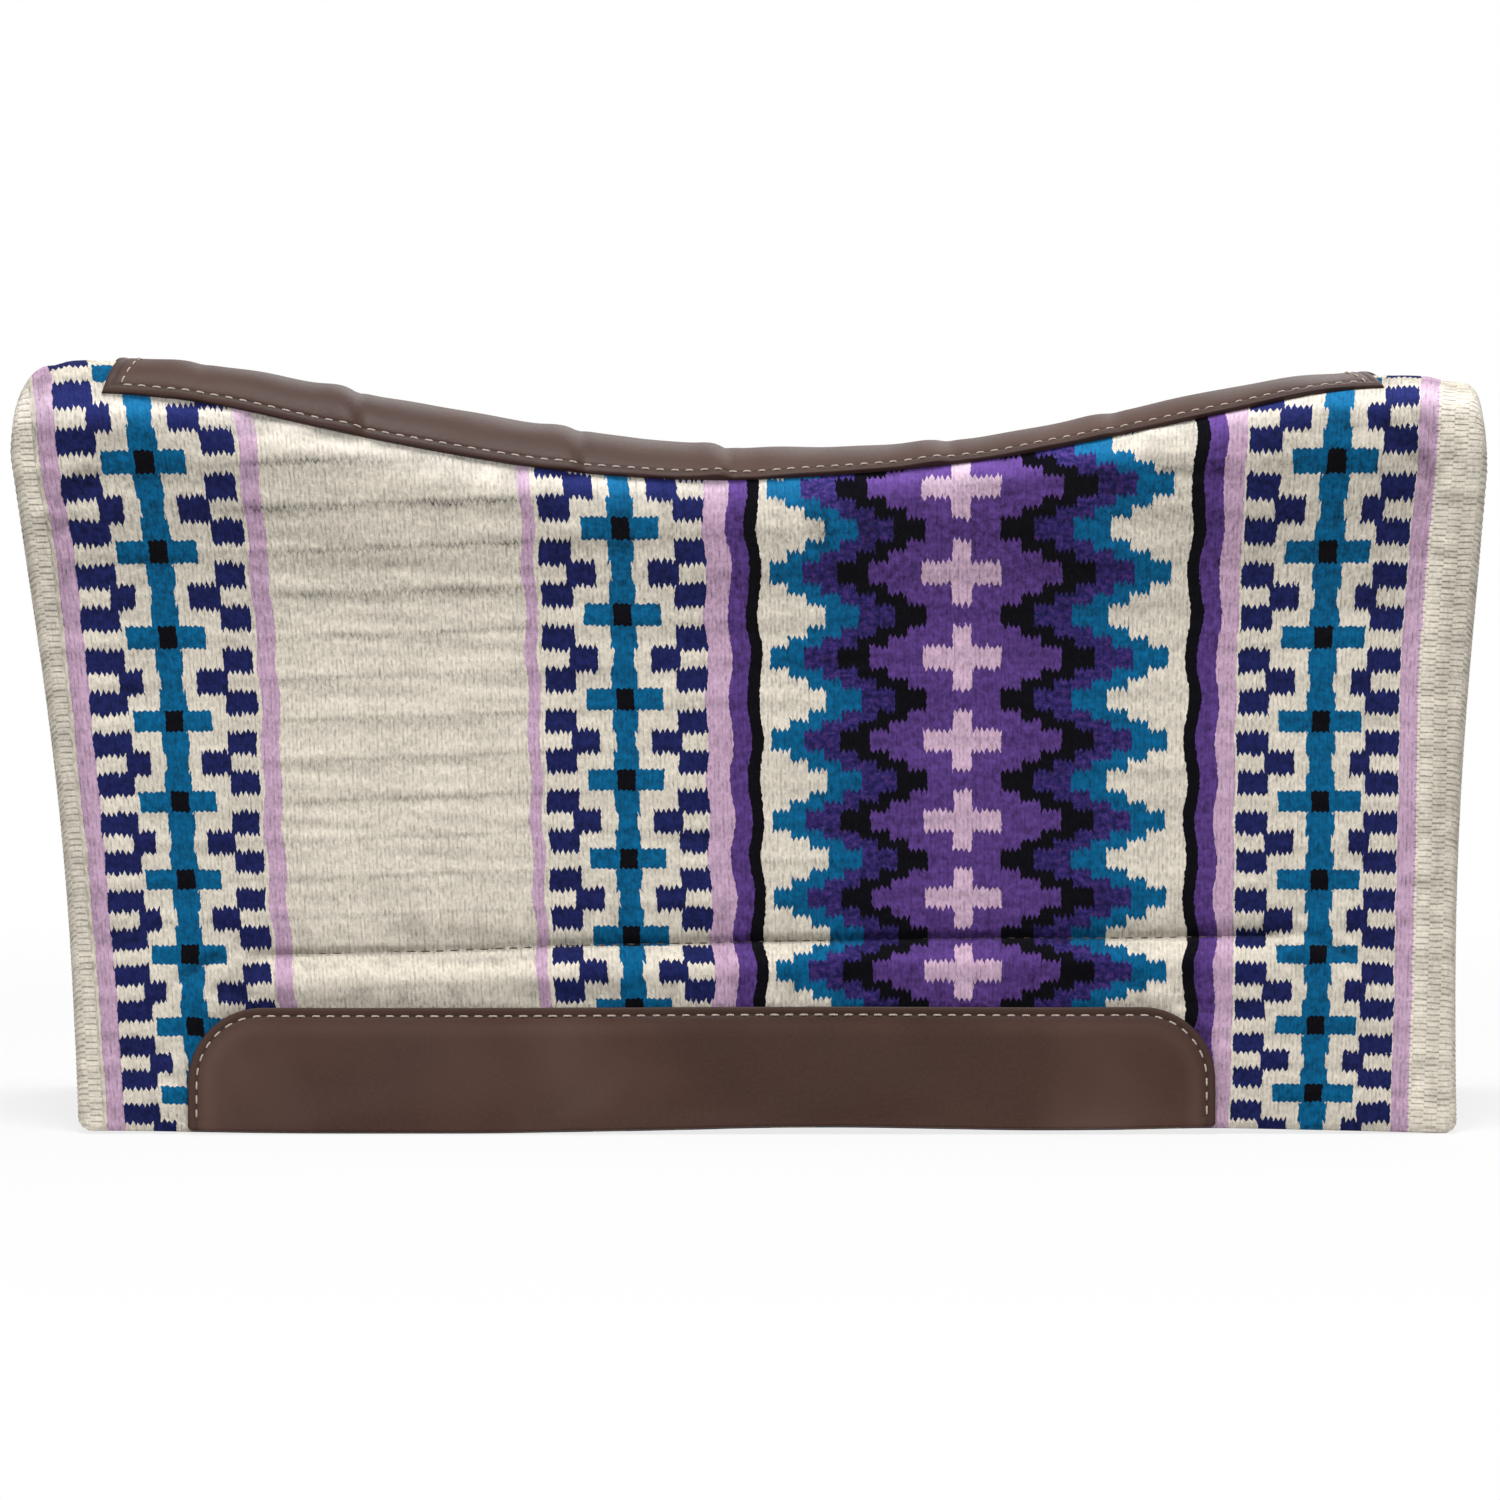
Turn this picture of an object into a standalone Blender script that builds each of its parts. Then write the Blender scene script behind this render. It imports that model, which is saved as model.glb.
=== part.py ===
# Contoured western saddle blanket: a woven wool cover over a felt core and a fleece lining,
# with a leather strip along the spine and a wear leather near the foot of each side.
# It stands like a tent with its front towards -X. The two sides fold about lines just below the crown.
# +Z is up, and the origin lies on the ground under the middle of the blanket.
import math

import bmesh
import bpy
from mathutils import Vector

INCH = 0.0254
MM = 0.001

# Overall shape of the outer cloth
pad_length = 34 * INCH
dip_height = 385 * MM
dip_x = 12 * MM
front_rise = 54 * MM
front_peak_inset = 62 * MM
rear_rise = 46 * MM
rear_peak_inset = 70 * MM
rear_rise_power = 1.25
dip_radius = 50 * MM
side_tilt = math.radians(22)
front_wall_tilt = math.radians(17)
rear_wall_tilt = math.radians(5)
fold_drop = 8 * MM

# Front and rear edges of the cloth, seen from the side
front_taper = 41 * MM
rear_taper = 19.5 * MM
front_bow = 8 * MM
rear_bow = 7 * MM
bow_power = 1.1
front_setback = 15 * MM
rear_setback = 10 * MM
shoulder_drop = 45 * MM

# Layers, from the outside in
wool_thickness = 5 * MM
felt_thickness = 14 * MM
lining_thickness = 5.8 * MM
layer_gap = 0.3 * MM
edge_gap = 1.2 * MM
edge_round = 8 * MM
cut_overrun = 6 * MM

# Fold of each side about the crown's edge
fold_gap = 0.3 * MM
fold_wedge = math.radians(26)

# Quilted channel across each side, and the roll of cloth under it
seam_front_x = -303 * MM
seam_rear_x = 328 * MM
seam_front_height = 102 * MM
seam_rear_height = 114 * MM
seam_fade = 45 * MM
channel_depth = 3 * MM
channel_half_width = 8 * MM
roll_height = 4 * MM

# Leather along the spine
leather_gap = 0.5 * MM
leather_thickness = 2.6 * MM
strip_front_x = -368 * MM
strip_rear_x = 361 * MM
strip_front_half = 38 * MM
strip_rear_half = 33 * MM
strip_tail = 11 * MM

# Wear leather on each side
wear_front_x = -327 * MM
wear_rear_x = 272 * MM
wear_height = 71 * MM
wear_corner = 43 * MM
wear_foot_clearance = 0.5 * MM
leather_bevel = 0.7 * MM

# Sewing thread
thread_radius = 0.6 * MM
thread_gap = 0.5 * MM
stitch_inset = 5 * MM
thread_end_inset = 8 * MM

# Mesh steps
arc_steps = 9
wall_steps = 2
crown_stations = 16
crown_station_inset = 27 * MM
strip_steps = 7
round_steps = 3
corner_steps = 6
thread_step = 22 * MM

total_thickness = wool_thickness + felt_thickness + lining_thickness + 2 * layer_gap
felt_top = wool_thickness + layer_gap
felt_bottom = felt_top + felt_thickness
lining_top = felt_bottom + layer_gap
front_peak_x = front_peak_inset - pad_length / 2
rear_peak_x = pad_length / 2 - rear_peak_inset

# The fold line lies on the outer cloth, just below the crown's round at the dip
fold_y = dip_radius * math.cos(side_tilt) + fold_drop * math.tan(side_tilt)
fold_z = dip_height - dip_radius * (1 - math.sin(side_tilt)) - fold_drop


def lerp(a, b, share):
    return a + (b - a) * share


def clamp(value):
    return min(1.0, max(0.0, value))


def smooth(value):
    value = clamp(value)
    return value * value * (3 - 2 * value)


def rise_share(x):
    """0 at the dip of the spine, 1 at the front or rear peak."""
    if x < dip_x:
        return (1 - math.cos(math.pi * (dip_x - x) / (dip_x - front_peak_x))) / 2
    along = (x - dip_x) / (rear_peak_x - dip_x)
    return (1 - math.cos(math.pi * along**rear_rise_power)) / 2


def ridge_height(x):
    rise = front_rise if x < dip_x else rear_rise
    return dip_height + rise * rise_share(x)


def wall_angle(x):
    """Tilt of the crown's wall, which runs from the round of the spine to the fold line."""
    end_tilt = front_wall_tilt if x < dip_x else rear_wall_tilt
    return lerp(side_tilt, end_tilt, rise_share(x))


def crown_radius(x):
    """Radius of the round that touches the ridge line and both walls."""
    lean = math.sin(wall_angle(x))
    reach = fold_y * math.cos(wall_angle(x)) - (ridge_height(x) - fold_z) * lean
    return reach / (1 - lean)


def edge_x(height, end):
    """The cloth's front (end -1) or rear (end 1) edge at a height on the outer face."""
    taper, bow, setback = (
        (front_taper, front_bow, front_setback)
        if end < 0
        else (rear_taper, rear_bow, rear_setback)
    )
    shoulder = ridge_height(end * pad_length / 2) - shoulder_drop
    below = clamp((shoulder - height) / shoulder)
    above = clamp((height - shoulder) / shoulder_drop)
    inset = taper * below + bow * math.sin(math.pi * below**bow_power)
    inset += setback * (1 - math.sqrt(1 - above * above))
    return end * (pad_length / 2 - inset)


def wall_end(start, angle):
    """Where a wall line meets the crown's lower end face, which leans to leave the fold its wedge."""
    lean = side_tilt - fold_wedge / 2
    up = Vector((-math.sin(lean), math.cos(lean)))
    down = Vector((math.sin(angle), -math.cos(angle)))
    face = Vector((fold_y, fold_z)) + up * (fold_gap / 2)
    return start + down * ((face - start).dot(up) / down.dot(up))


def crown_section(x, row, depth):
    """(y, z) of the left-over-right half section. Rows run from the spine down to the crown's end."""
    radius = crown_radius(x)
    centre = ridge_height(x) - radius
    angle = wall_angle(x)
    turn = lerp(math.pi / 2, angle, clamp(row / arc_steps))
    point = Vector(((radius - depth) * math.cos(turn), centre + (radius - depth) * math.sin(turn)))
    if row > arc_steps:
        point = point.lerp(wall_end(point, angle), (row - arc_steps) / wall_steps)
    return point


crown_rows = list(range(arc_steps + wall_steps + 1))


def crown_place(row, x, depth, side):
    point = crown_section(x, row, depth)
    return Vector((x, side * (point.x + layer_gap / 2), point.y))


def crown_edge(row, end):
    """The edge's x at a row, found from the height that the row has near that edge."""
    return edge_x(crown_section(end * pad_length / 2, row, 0).y, end)


def seam_height(x):
    along = clamp((x - seam_front_x) / (seam_rear_x - seam_front_x))
    return lerp(seam_front_height, seam_rear_height, along)


def seam_strength(x):
    """1 along the sewn channel, fading to 0 at its two ends."""
    return smooth((x - seam_front_x) / seam_fade) * smooth((seam_rear_x - x) / seam_fade)


drop_shares = (0.2, 0.4, 0.6, 0.8)


def side_rows(foot):
    """Rows of a side: height on the outer face as a function of x, lean with depth, and relief."""
    top_lean = -math.tan(fold_wedge / 2) * math.cos(side_tilt)
    rows = [(lambda x: fold_z - fold_gap / 2, top_lean, 0)]
    for share in drop_shares:
        rows.append((lambda x, s=share: lerp(fold_z, seam_height(x) + channel_half_width, s), 0, 0))
    rows.append((lambda x: seam_height(x) + channel_half_width, 0, 0))
    rows.append((seam_height, 0, -channel_depth))
    rows.append((lambda x: seam_height(x) - channel_half_width, 0, roll_height))
    rows.append((lambda x: lerp(seam_height(x) - channel_half_width, wear_height, 0.5), 0, roll_height))
    rows.append((lambda x: wear_height + leather_gap, 0, 0))
    rows.append((lambda x: foot, math.sin(side_tilt), 0))
    return rows


def plain_side_rows(foot):
    """The rows that an inner layer needs: only those above the channel, and its foot."""
    rows = side_rows(foot)
    return [*rows[: len(drop_shares) + 1], rows[-1]]


def side_place(height, depth, x, side):
    """A point of a side, from the fold line: depth is measured square to the outer face."""
    down = (fold_z - height) * math.tan(side_tilt) - depth * math.cos(side_tilt)
    return Vector((x, side * down, height - fold_z - depth * math.sin(side_tilt)))


def side_row_place(row, x, depth, side):
    height_at, lean, relief = row
    raised = relief * seam_strength(x) if depth == 0 else 0
    return side_place(height_at(x) + lean * depth, depth - raised, x, side)


def side_edge(row, end):
    return edge_x(row[0](end * pad_length / 2), end)


def rounded_end(end):
    """The cover's round from its edge on to its face, as a quarter circle in (x, depth)."""
    turns = [math.pi / 2 * i / round_steps for i in range(round_steps + 1)]
    arc = [(end, edge_round * (1 - math.cos(t)), edge_round * (1 - math.sin(t))) for t in turns]
    return arc if end < 0 else arc[::-1]


def cover_ring(stations):
    """Ring round the whole blanket. Each entry is (end, offset from that end's edge, or x, depth)."""
    ring = [*rounded_end(-1), *((0, x, 0) for x in stations), *rounded_end(1)]
    ring.append((1, 0, total_thickness))
    ring += [(0, x, total_thickness) for x in reversed(stations)]
    ring.append((-1, 0, total_thickness))
    return ring


def tray_ring(stations):
    """Ring of the cover alone: its face, and the cloth turned in over the edges of the layers."""
    wool = wool_thickness
    ring = [*rounded_end(-1), *((0, x, 0) for x in stations), *rounded_end(1)]
    ring += [(1, 0, total_thickness), (1, wool, total_thickness), (1, wool, wool)]
    ring += [(0, x, wool) for x in reversed(stations)]
    ring += [(-1, wool, wool), (-1, wool, total_thickness), (-1, 0, total_thickness)]
    return ring


def layer_ring(stations, inset, top, bottom):
    ring = [(-1, inset, top), *((0, x, top) for x in stations), (1, inset, top)]
    ring += [(1, inset, bottom), *((0, x, bottom) for x in reversed(stations)), (-1, inset, bottom)]
    return ring


def swept_mesh(name, rows, ring, place, edge, side):
    """One closed body: the ring at each row, joined row to row, with a cap at each end."""
    mesh = bmesh.new()
    loops = []
    for row in rows:
        loop = []
        for end, across, depth in ring:
            x = across if end == 0 else edge(row, end) - end * across
            loop.append(mesh.verts.new(place(row, x, depth, side)))
        loops.append(loop)
    # Every layer's quads are split along the same diagonal, so that facing layers stay parallel
    for a, b in zip(loops, loops[1:]):
        for near, far, below_near, below_far in zip(a, a[1:] + a[:1], b, b[1:] + b[:1]):
            if far.co.x >= near.co.x:
                mesh.faces.new((near, far, below_far))
                mesh.faces.new((near, below_far, below_near))
            else:
                mesh.faces.new((near, far, below_near))
                mesh.faces.new((far, below_far, below_near))
    mesh.faces.new(loops[0])
    mesh.faces.new(loops[-1])
    return finished_mesh(name, mesh)


def finished_mesh(name, mesh):
    bmesh.ops.recalc_face_normals(mesh, faces=mesh.faces)
    data = bpy.data.meshes.new(name)
    mesh.to_mesh(data)
    mesh.free()
    data.shade_smooth()
    data.set_sharp_from_angle(angle=math.radians(35))
    return data


def material(name, colour, roughness):
    made = bpy.data.materials.new(name)
    made.use_nodes = True
    shader = made.node_tree.nodes["Principled BSDF"]
    shader.inputs["Base Color"].default_value = (*colour, 1)
    shader.inputs["Roughness"].default_value = roughness
    shader.inputs["Metallic"].default_value = 0
    return made


def add_object(name, data, finish=None, parent=None):
    made = bpy.data.objects.new(name, data)
    bpy.context.scene.collection.objects.link(made)
    if finish:
        data.materials.append(finish)
    made.parent = parent
    return made


def cut_away(body, cutter):
    cutter.hide_render = True
    cutter.display_type = "WIRE"
    cut = body.modifiers.new("hollow", "BOOLEAN")
    cut.operation = "DIFFERENCE"
    cut.object = cutter


def crown_stations_x():
    reach = pad_length / 2 - crown_station_inset
    return [lerp(-reach, reach, i / (crown_stations - 1)) for i in range(crown_stations)]


def side_stations_x():
    inner_front = seam_front_x + seam_fade
    inner_rear = seam_rear_x - seam_fade
    middle = [lerp(inner_front, inner_rear, i / 7) for i in range(8)]
    return [
        seam_front_x,
        seam_front_x + seam_fade / 2,
        *middle,
        seam_rear_x - seam_fade / 2,
        seam_rear_x,
    ]


inner_layers = (
    ("felt_core", "felt", felt_top, felt_bottom),
    ("fleece_lining", "fleece", lining_top, total_thickness),
)


def build_crown_layers(side, prefix, finishes):
    """The wool, felt and lining of one half of the crown, between the spine and the fold line."""
    stations = crown_stations_x()
    name = prefix + "wool_cover_crown"
    ring = tray_ring(stations)
    mesh = swept_mesh(name, crown_rows, ring, crown_place, crown_edge, side)
    add_object(name, mesh, finishes["wool"])
    for layer, finish, top, bottom in inner_layers:
        name = prefix + layer + "_crown"
        ring = layer_ring(stations, wool_thickness + edge_gap, top, bottom)
        mesh = swept_mesh(name, crown_rows, ring, crown_place, crown_edge, side)
        add_object(name, mesh, finishes[finish])


def build_side_layers(side, prefix, finishes, axis):
    """The wool, felt and lining of one side, from the fold line down to the ground."""
    name = prefix + "wool_cover"
    ring = cover_ring(side_stations_x())
    mesh = swept_mesh(name, side_rows(0), ring, side_row_place, side_edge, side)
    cover = add_object(name, mesh, finishes["wool"], axis)
    top_row, *middle_rows, foot_row = plain_side_rows(wool_thickness)
    above_fold = (lambda x: fold_z + cut_overrun, top_row[1], 0)
    rows = [above_fold, *middle_rows, foot_row]
    ring = layer_ring([], wool_thickness, wool_thickness, total_thickness + cut_overrun)
    name = prefix + "side_hollow"
    mesh = swept_mesh(name, rows, ring, side_row_place, side_edge, side)
    cut_away(cover, add_object(name, mesh, None, axis))
    for layer, finish, top, bottom in inner_layers:
        name = prefix + layer
        ring = layer_ring([], wool_thickness + edge_gap, top, bottom)
        rows = plain_side_rows(wool_thickness + layer_gap)
        mesh = swept_mesh(name, rows, ring, side_row_place, side_edge, side)
        add_object(name, mesh, finishes[finish], axis)


def strip_half(x):
    along = clamp((x - strip_front_x) / (strip_rear_x - strip_front_x))
    return lerp(strip_front_half, strip_rear_half, along)


def strip_place(x, across, height):
    """A point over the crown: across is the arc length from the spine, height is above the cloth."""
    radius = crown_radius(x)
    angle = wall_angle(x)
    arc = min(abs(across), radius * (math.pi / 2 - angle))
    turn = math.pi / 2 - arc / radius
    straight = abs(across) - arc
    y = (radius + height) * math.cos(turn) + straight * math.sin(angle)
    z = ridge_height(x) - radius + (radius + height) * math.sin(turn) - straight * math.cos(angle)
    return Vector((x, math.copysign(y, across), z))


def build_spine_leather(finish):
    """The strip over the spine. Its two ends are cut like a shallow swallow tail."""
    inner_stations = [x for x in crown_stations_x() if strip_front_x < x < strip_rear_x]
    shares = [i / strip_steps for i in range(-strip_steps, strip_steps + 1)]
    mesh = bmesh.new()
    levels = []
    for height in (leather_gap + leather_thickness, leather_gap):
        grid = []
        for station in [None, *inner_stations, None]:
            line = []
            for share in shares:
                x = station
                if station is None:
                    x = strip_front_x - strip_tail * abs(share)
                    if grid:
                        x = strip_rear_x + strip_tail * abs(share)
                line.append(mesh.verts.new(strip_place(x, share * strip_half(x), height)))
            grid.append(line)
        levels.append(grid)
    top, bottom = levels
    for i in range(len(top) - 1):
        for j in range(len(shares) - 1):
            for grid in levels:
                mesh.faces.new((grid[i][j], grid[i][j + 1], grid[i + 1][j + 1], grid[i + 1][j]))
    rim = [(i, 0) for i in range(len(top))]
    rim += [(len(top) - 1, j) for j in range(1, len(shares))]
    rim += [(i, len(shares) - 1) for i in range(len(top) - 2, -1, -1)]
    rim += [(0, j) for j in range(len(shares) - 2, 0, -1)]
    for (a, b), (c, d) in zip(rim, rim[1:] + rim[:1]):
        mesh.faces.new((top[a][b], top[c][d], bottom[c][d], bottom[a][b]))
    add_object("spine_leather", finished_mesh("spine_leather", mesh), finish)


def thread_object(name, points, closed, finish, parent=None):
    curve = bpy.data.curves.new(name, "CURVE")
    curve.dimensions = "3D"
    curve.bevel_depth = thread_radius
    curve.bevel_resolution = 1
    curve.use_fill_caps = not closed
    spline = curve.splines.new("POLY")
    spline.points.add(len(points) - 1)
    for target, point in zip(spline.points, points):
        target.co = (*point, 1)
    spline.use_cyclic_u = closed
    add_object(name, curve, finish, parent)


def build_spine_stitching(finish):
    """One row of thread all the way round the strip, a little inside its edge."""
    height = leather_gap + leather_thickness + thread_gap + thread_radius
    front = strip_front_x + stitch_inset
    rear = strip_rear_x - stitch_inset
    steps = round((rear - front) / thread_step)
    across_steps = 2 * strip_steps
    points = []
    for side in (-1, 1):
        for i in range(steps + 1):
            x = lerp(front - strip_tail, rear + strip_tail, i / steps if side < 0 else 1 - i / steps)
            points.append(strip_place(x, side * (strip_half(x) - stitch_inset), height))
        start, tail = (rear, strip_tail) if side < 0 else (front, -strip_tail)
        for i in range(1, across_steps):
            share = lerp(side, -side, i / across_steps)
            x = start + tail * abs(share)
            points.append(strip_place(x, share * (strip_half(x) - stitch_inset), height))
    thread_object("spine_stitching", points, True, finish)


def wear_outline(inset, foot):
    """Outline of the wear leather as (x, height on the face), from its front foot to its rear foot."""
    radius = wear_corner - inset
    top = wear_height - inset
    front = wear_front_x + inset
    rear = wear_rear_x - inset
    points = [(front, foot)]
    for i in range(corner_steps + 1):
        turn = math.pi / 2 * i / corner_steps
        points.append((front + radius * (1 - math.cos(turn)), top - radius * (1 - math.sin(turn))))
    for i in range(corner_steps + 1):
        turn = math.pi / 2 * (1 - i / corner_steps)
        points.append((rear - radius * (1 - math.cos(turn)), top - radius * (1 - math.sin(turn))))
    points.append((rear, foot))
    return points


def build_wear_leather(side, prefix, finishes, axis):
    outline = wear_outline(0, wear_foot_clearance)
    mesh = bmesh.new()
    inner, outer = (
        [mesh.verts.new(side_place(height, -lift, x, side)) for x, height in outline]
        for lift in (leather_gap, leather_gap + leather_thickness)
    )
    mesh.faces.new(inner)
    mesh.faces.new(outer)
    for i in range(len(outline)):
        j = (i + 1) % len(outline)
        mesh.faces.new((inner[i], inner[j], outer[j], outer[i]))
    name = prefix + "wear_leather"
    leather = add_object(name, finished_mesh(name, mesh), finishes["leather"], axis)
    bevel = leather.modifiers.new("worn edge", "BEVEL")
    bevel.width = leather_bevel
    bevel.segments = 1
    bevel.limit_method = "ANGLE"
    lift = leather_gap + leather_thickness + thread_gap + thread_radius
    row = [
        side_place(height, -lift, x, side)
        for x, height in wear_outline(stitch_inset, thread_end_inset)
    ]
    thread_object(prefix + "wear_stitching", row, False, finishes["thread"], axis)


def build_quilt_stitching(side, prefix, finishes, axis):
    """The thread that holds the channel down, lying along the channel's floor."""
    front = seam_front_x + seam_fade + thread_end_inset
    rear = seam_rear_x - seam_fade - thread_end_inset
    steps = round((rear - front) / thread_step)
    depth = channel_depth - thread_gap - thread_radius
    places = [lerp(front, rear, i / steps) for i in range(steps + 1)]
    row = [side_place(seam_height(x), depth, x, side) for x in places]
    thread_object(prefix + "quilt_stitching", row, False, finishes["thread"], axis)


def main():
    for old in list(bpy.data.objects):
        bpy.data.objects.remove(old)
    finishes = {
        "wool": material("woven wool", (0.74, 0.69, 0.58), 0.95),
        "felt": material("grey felt", (0.42, 0.41, 0.40), 0.95),
        "fleece": material("cream fleece", (0.82, 0.79, 0.71), 0.97),
        "leather": material("brown leather", (0.085, 0.041, 0.031), 0.5),
        "thread": material("tan thread", (0.52, 0.43, 0.36), 0.7),
    }
    build_spine_leather(finishes["leather"])
    build_spine_stitching(finishes["thread"])
    for side, prefix in ((-1, "left_"), (1, "right_")):
        build_crown_layers(side, prefix, finishes)
        axis = bpy.data.objects.new(prefix + "fold_axis", None)
        bpy.context.scene.collection.objects.link(axis)
        axis.location = (0, side * (fold_y + layer_gap / 2), fold_z)
        build_side_layers(side, prefix, finishes, axis)
        build_wear_leather(side, prefix, finishes, axis)
        build_quilt_stitching(side, prefix, finishes, axis)


main()
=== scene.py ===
import math

import bmesh
import bpy
import numpy as np
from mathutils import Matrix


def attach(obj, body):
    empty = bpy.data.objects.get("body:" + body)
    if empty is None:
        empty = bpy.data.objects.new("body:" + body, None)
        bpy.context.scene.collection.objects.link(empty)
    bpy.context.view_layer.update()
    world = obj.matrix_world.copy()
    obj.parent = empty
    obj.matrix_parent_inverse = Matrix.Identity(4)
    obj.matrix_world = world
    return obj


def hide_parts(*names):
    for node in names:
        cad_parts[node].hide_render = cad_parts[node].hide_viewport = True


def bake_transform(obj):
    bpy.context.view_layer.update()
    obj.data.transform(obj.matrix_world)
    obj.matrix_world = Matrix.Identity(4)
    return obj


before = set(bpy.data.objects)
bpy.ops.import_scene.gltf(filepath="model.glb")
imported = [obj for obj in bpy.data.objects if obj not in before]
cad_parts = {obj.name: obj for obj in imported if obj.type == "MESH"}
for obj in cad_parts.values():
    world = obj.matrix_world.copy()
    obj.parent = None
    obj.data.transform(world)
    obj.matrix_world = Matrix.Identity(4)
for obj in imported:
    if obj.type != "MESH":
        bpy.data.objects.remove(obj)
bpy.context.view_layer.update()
print("frame loaded,", len(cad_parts), "nodes")

# the same measures as the solids, in metres and radians
form = {
    "length": 0.8636, "dipHeight": 0.385, "dipX": 0.012,
    "frontRise": 0.054, "frontPeakX": -0.3698,
    "rearRise": 0.046, "rearPeakX": 0.3618, "rearPower": 1.25,
    "sideTilt": math.radians(22), "frontTilt": math.radians(17), "rearTilt": math.radians(5),
    "dipRadius": 0.050, "foldDrop": 0.008, "foldSoftness": 0.025,
    "frontTaper": 0.0415, "frontBow": 0.008, "frontSetback": 0.015,
    "rearTaper": 0.0195, "rearBow": 0.007, "rearSetback": 0.005,
    "bowPower": 1.1, "shoulderDrop": 0.045, "footCorner": 0.007,
    "halfGap": 0.00015, "wool": 0.005, "felt": (0.0053, 0.0193), "fleece": (0.0196, 0.0254),
    "leanHeight": 0.071, "crownLength": 0.085,
    # how the worn ridge sags below its line, and how the foot arches off the ground
    "sag": ((-0.44, 0), (-0.38, -0.0004), (-0.321, -0.0018), (-0.290, -0.0027), (-0.250, -0.0042),
            (-0.205, -0.0040), (-0.166, -0.0022), (-0.122, -0.0003), (-0.079, 0.0012), (0.008, 0.0009),
            (0.095, 0.0003), (0.124, -0.0006), (0.204, -0.0016), (0.284, -0.0022), (0.367, -0.0008),
            (0.44, 0)),
    "arch": ((-0.44, 0.0018), (-0.36, 0.0018), (-0.30, 0.0005), (-0.256, 0), (-0.15, 0), (-0.10, 0.0010),
             (-0.046, 0.0019), (0.007, 0.0035), (0.06, 0.0038), (0.112, 0.0028), (0.165, 0.0018),
             (0.217, 0.0022), (0.27, 0.0036), (0.322, 0.0024), (0.375, 0.0012), (0.41, 0), (0.44, 0)),
    "archFade": 0.11,
    # two (y, z) places, one on each side of the fold
    "foldBlend": ((0.0362, 0.3700), (0.0745, 0.2980)),
}
sideTilt = form["sideTilt"]
foldY = form["dipRadius"] * math.cos(sideTilt) + form["foldDrop"] * math.tan(sideTilt)
foldZ = form["dipHeight"] - form["dipRadius"] * (1 - math.sin(sideTilt)) - form["foldDrop"]
foldSlope = foldZ / math.cos(sideTilt)  # slope length from the ground to the fold line


def sideBody(side):
    return "left_side" if side < 0 else "right_side"


def mixed(a, b, share):
    return a + (b - a) * share


def eased(value):
    value = np.clip(value, 0, 1)
    return value * value * (3 - 2 * value)


def bell(value, width):
    return np.exp(-((value / width) ** 2))


def curve(x, knots):
    # a smooth line through a few (place, value) knots
    places, values = np.array(knots).T
    fine = np.linspace(places[0], places[-1], 241)
    line = np.interp(fine, places, values)
    for _ in range(30):
        line[1:-1] = (line[:-2] + 2 * line[1:-1] + line[2:]) / 4
    return np.interp(x, fine, line)


def riseShare(x):
    towardsFront = (1 - np.cos(np.pi * (form["dipX"] - x) / (form["dipX"] - form["frontPeakX"]))) / 2
    along = np.clip((x - form["dipX"]) / (form["rearPeakX"] - form["dipX"]), 0, None)
    towardsRear = (1 - np.cos(np.pi * along ** form["rearPower"])) / 2
    return np.where(x < form["dipX"], towardsFront, towardsRear)


def ridgeHeight(x):
    rise = np.where(x < form["dipX"], form["frontRise"], form["rearRise"])
    return form["dipHeight"] + rise * riseShare(x) + curve(x, form["sag"])


def wallTilt(x):
    endTilt = np.where(x < form["dipX"], form["frontTilt"], form["rearTilt"])
    return mixed(sideTilt, endTilt, riseShare(x))


def crownRadius(x):
    lean = np.sin(wallTilt(x))
    reach = foldY * np.cos(wallTilt(x)) - (ridgeHeight(x) - foldZ) * lean
    return reach / (1 - lean)


def wallLength(x):
    radius, tilt = crownRadius(x), wallTilt(x)
    return np.hypot(radius * np.cos(tilt) - foldY, ridgeHeight(x) - radius + radius * np.sin(tilt) - foldZ)


def topSlope(x):
    # slope length from the ground to the spine
    return foldSlope + wallLength(x) + crownRadius(x) * (np.pi / 2 - wallTilt(x))


def outerLine(x, slope):
    # (y, z) on the outer face of one half, at a slope length up from the ground
    radius, tilt, wall = crownRadius(x), wallTilt(x), wallLength(x)
    up = slope - foldSlope
    turn = tilt + (up - wall) / radius
    onArc = up > wall
    y = np.where(onArc, radius * np.cos(turn), foldY - up * np.sin(np.where(up > 0, tilt, sideTilt)))
    z = np.where(onArc, ridgeHeight(x) - radius + radius * np.sin(turn),
                 foldZ + up * np.cos(np.where(up > 0, tilt, sideTilt)))
    # the cloth turns softly through the fold line
    reach = np.minimum(form["foldSoftness"], wall)
    share = np.clip((up + reach) / (2 * reach), 0, 1)
    softY = ((1 - share) ** 2 * (foldY + reach * np.sin(sideTilt)) + 2 * share * (1 - share) * foldY
             + share ** 2 * (foldY - reach * np.sin(tilt)))
    softZ = ((1 - share) ** 2 * (foldZ - reach * np.cos(sideTilt)) + 2 * share * (1 - share) * foldZ
             + share ** 2 * (foldZ + reach * np.cos(tilt)))
    near = np.abs(up) < reach
    return np.where(near, softY, y), np.where(near, softZ, z)


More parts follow.
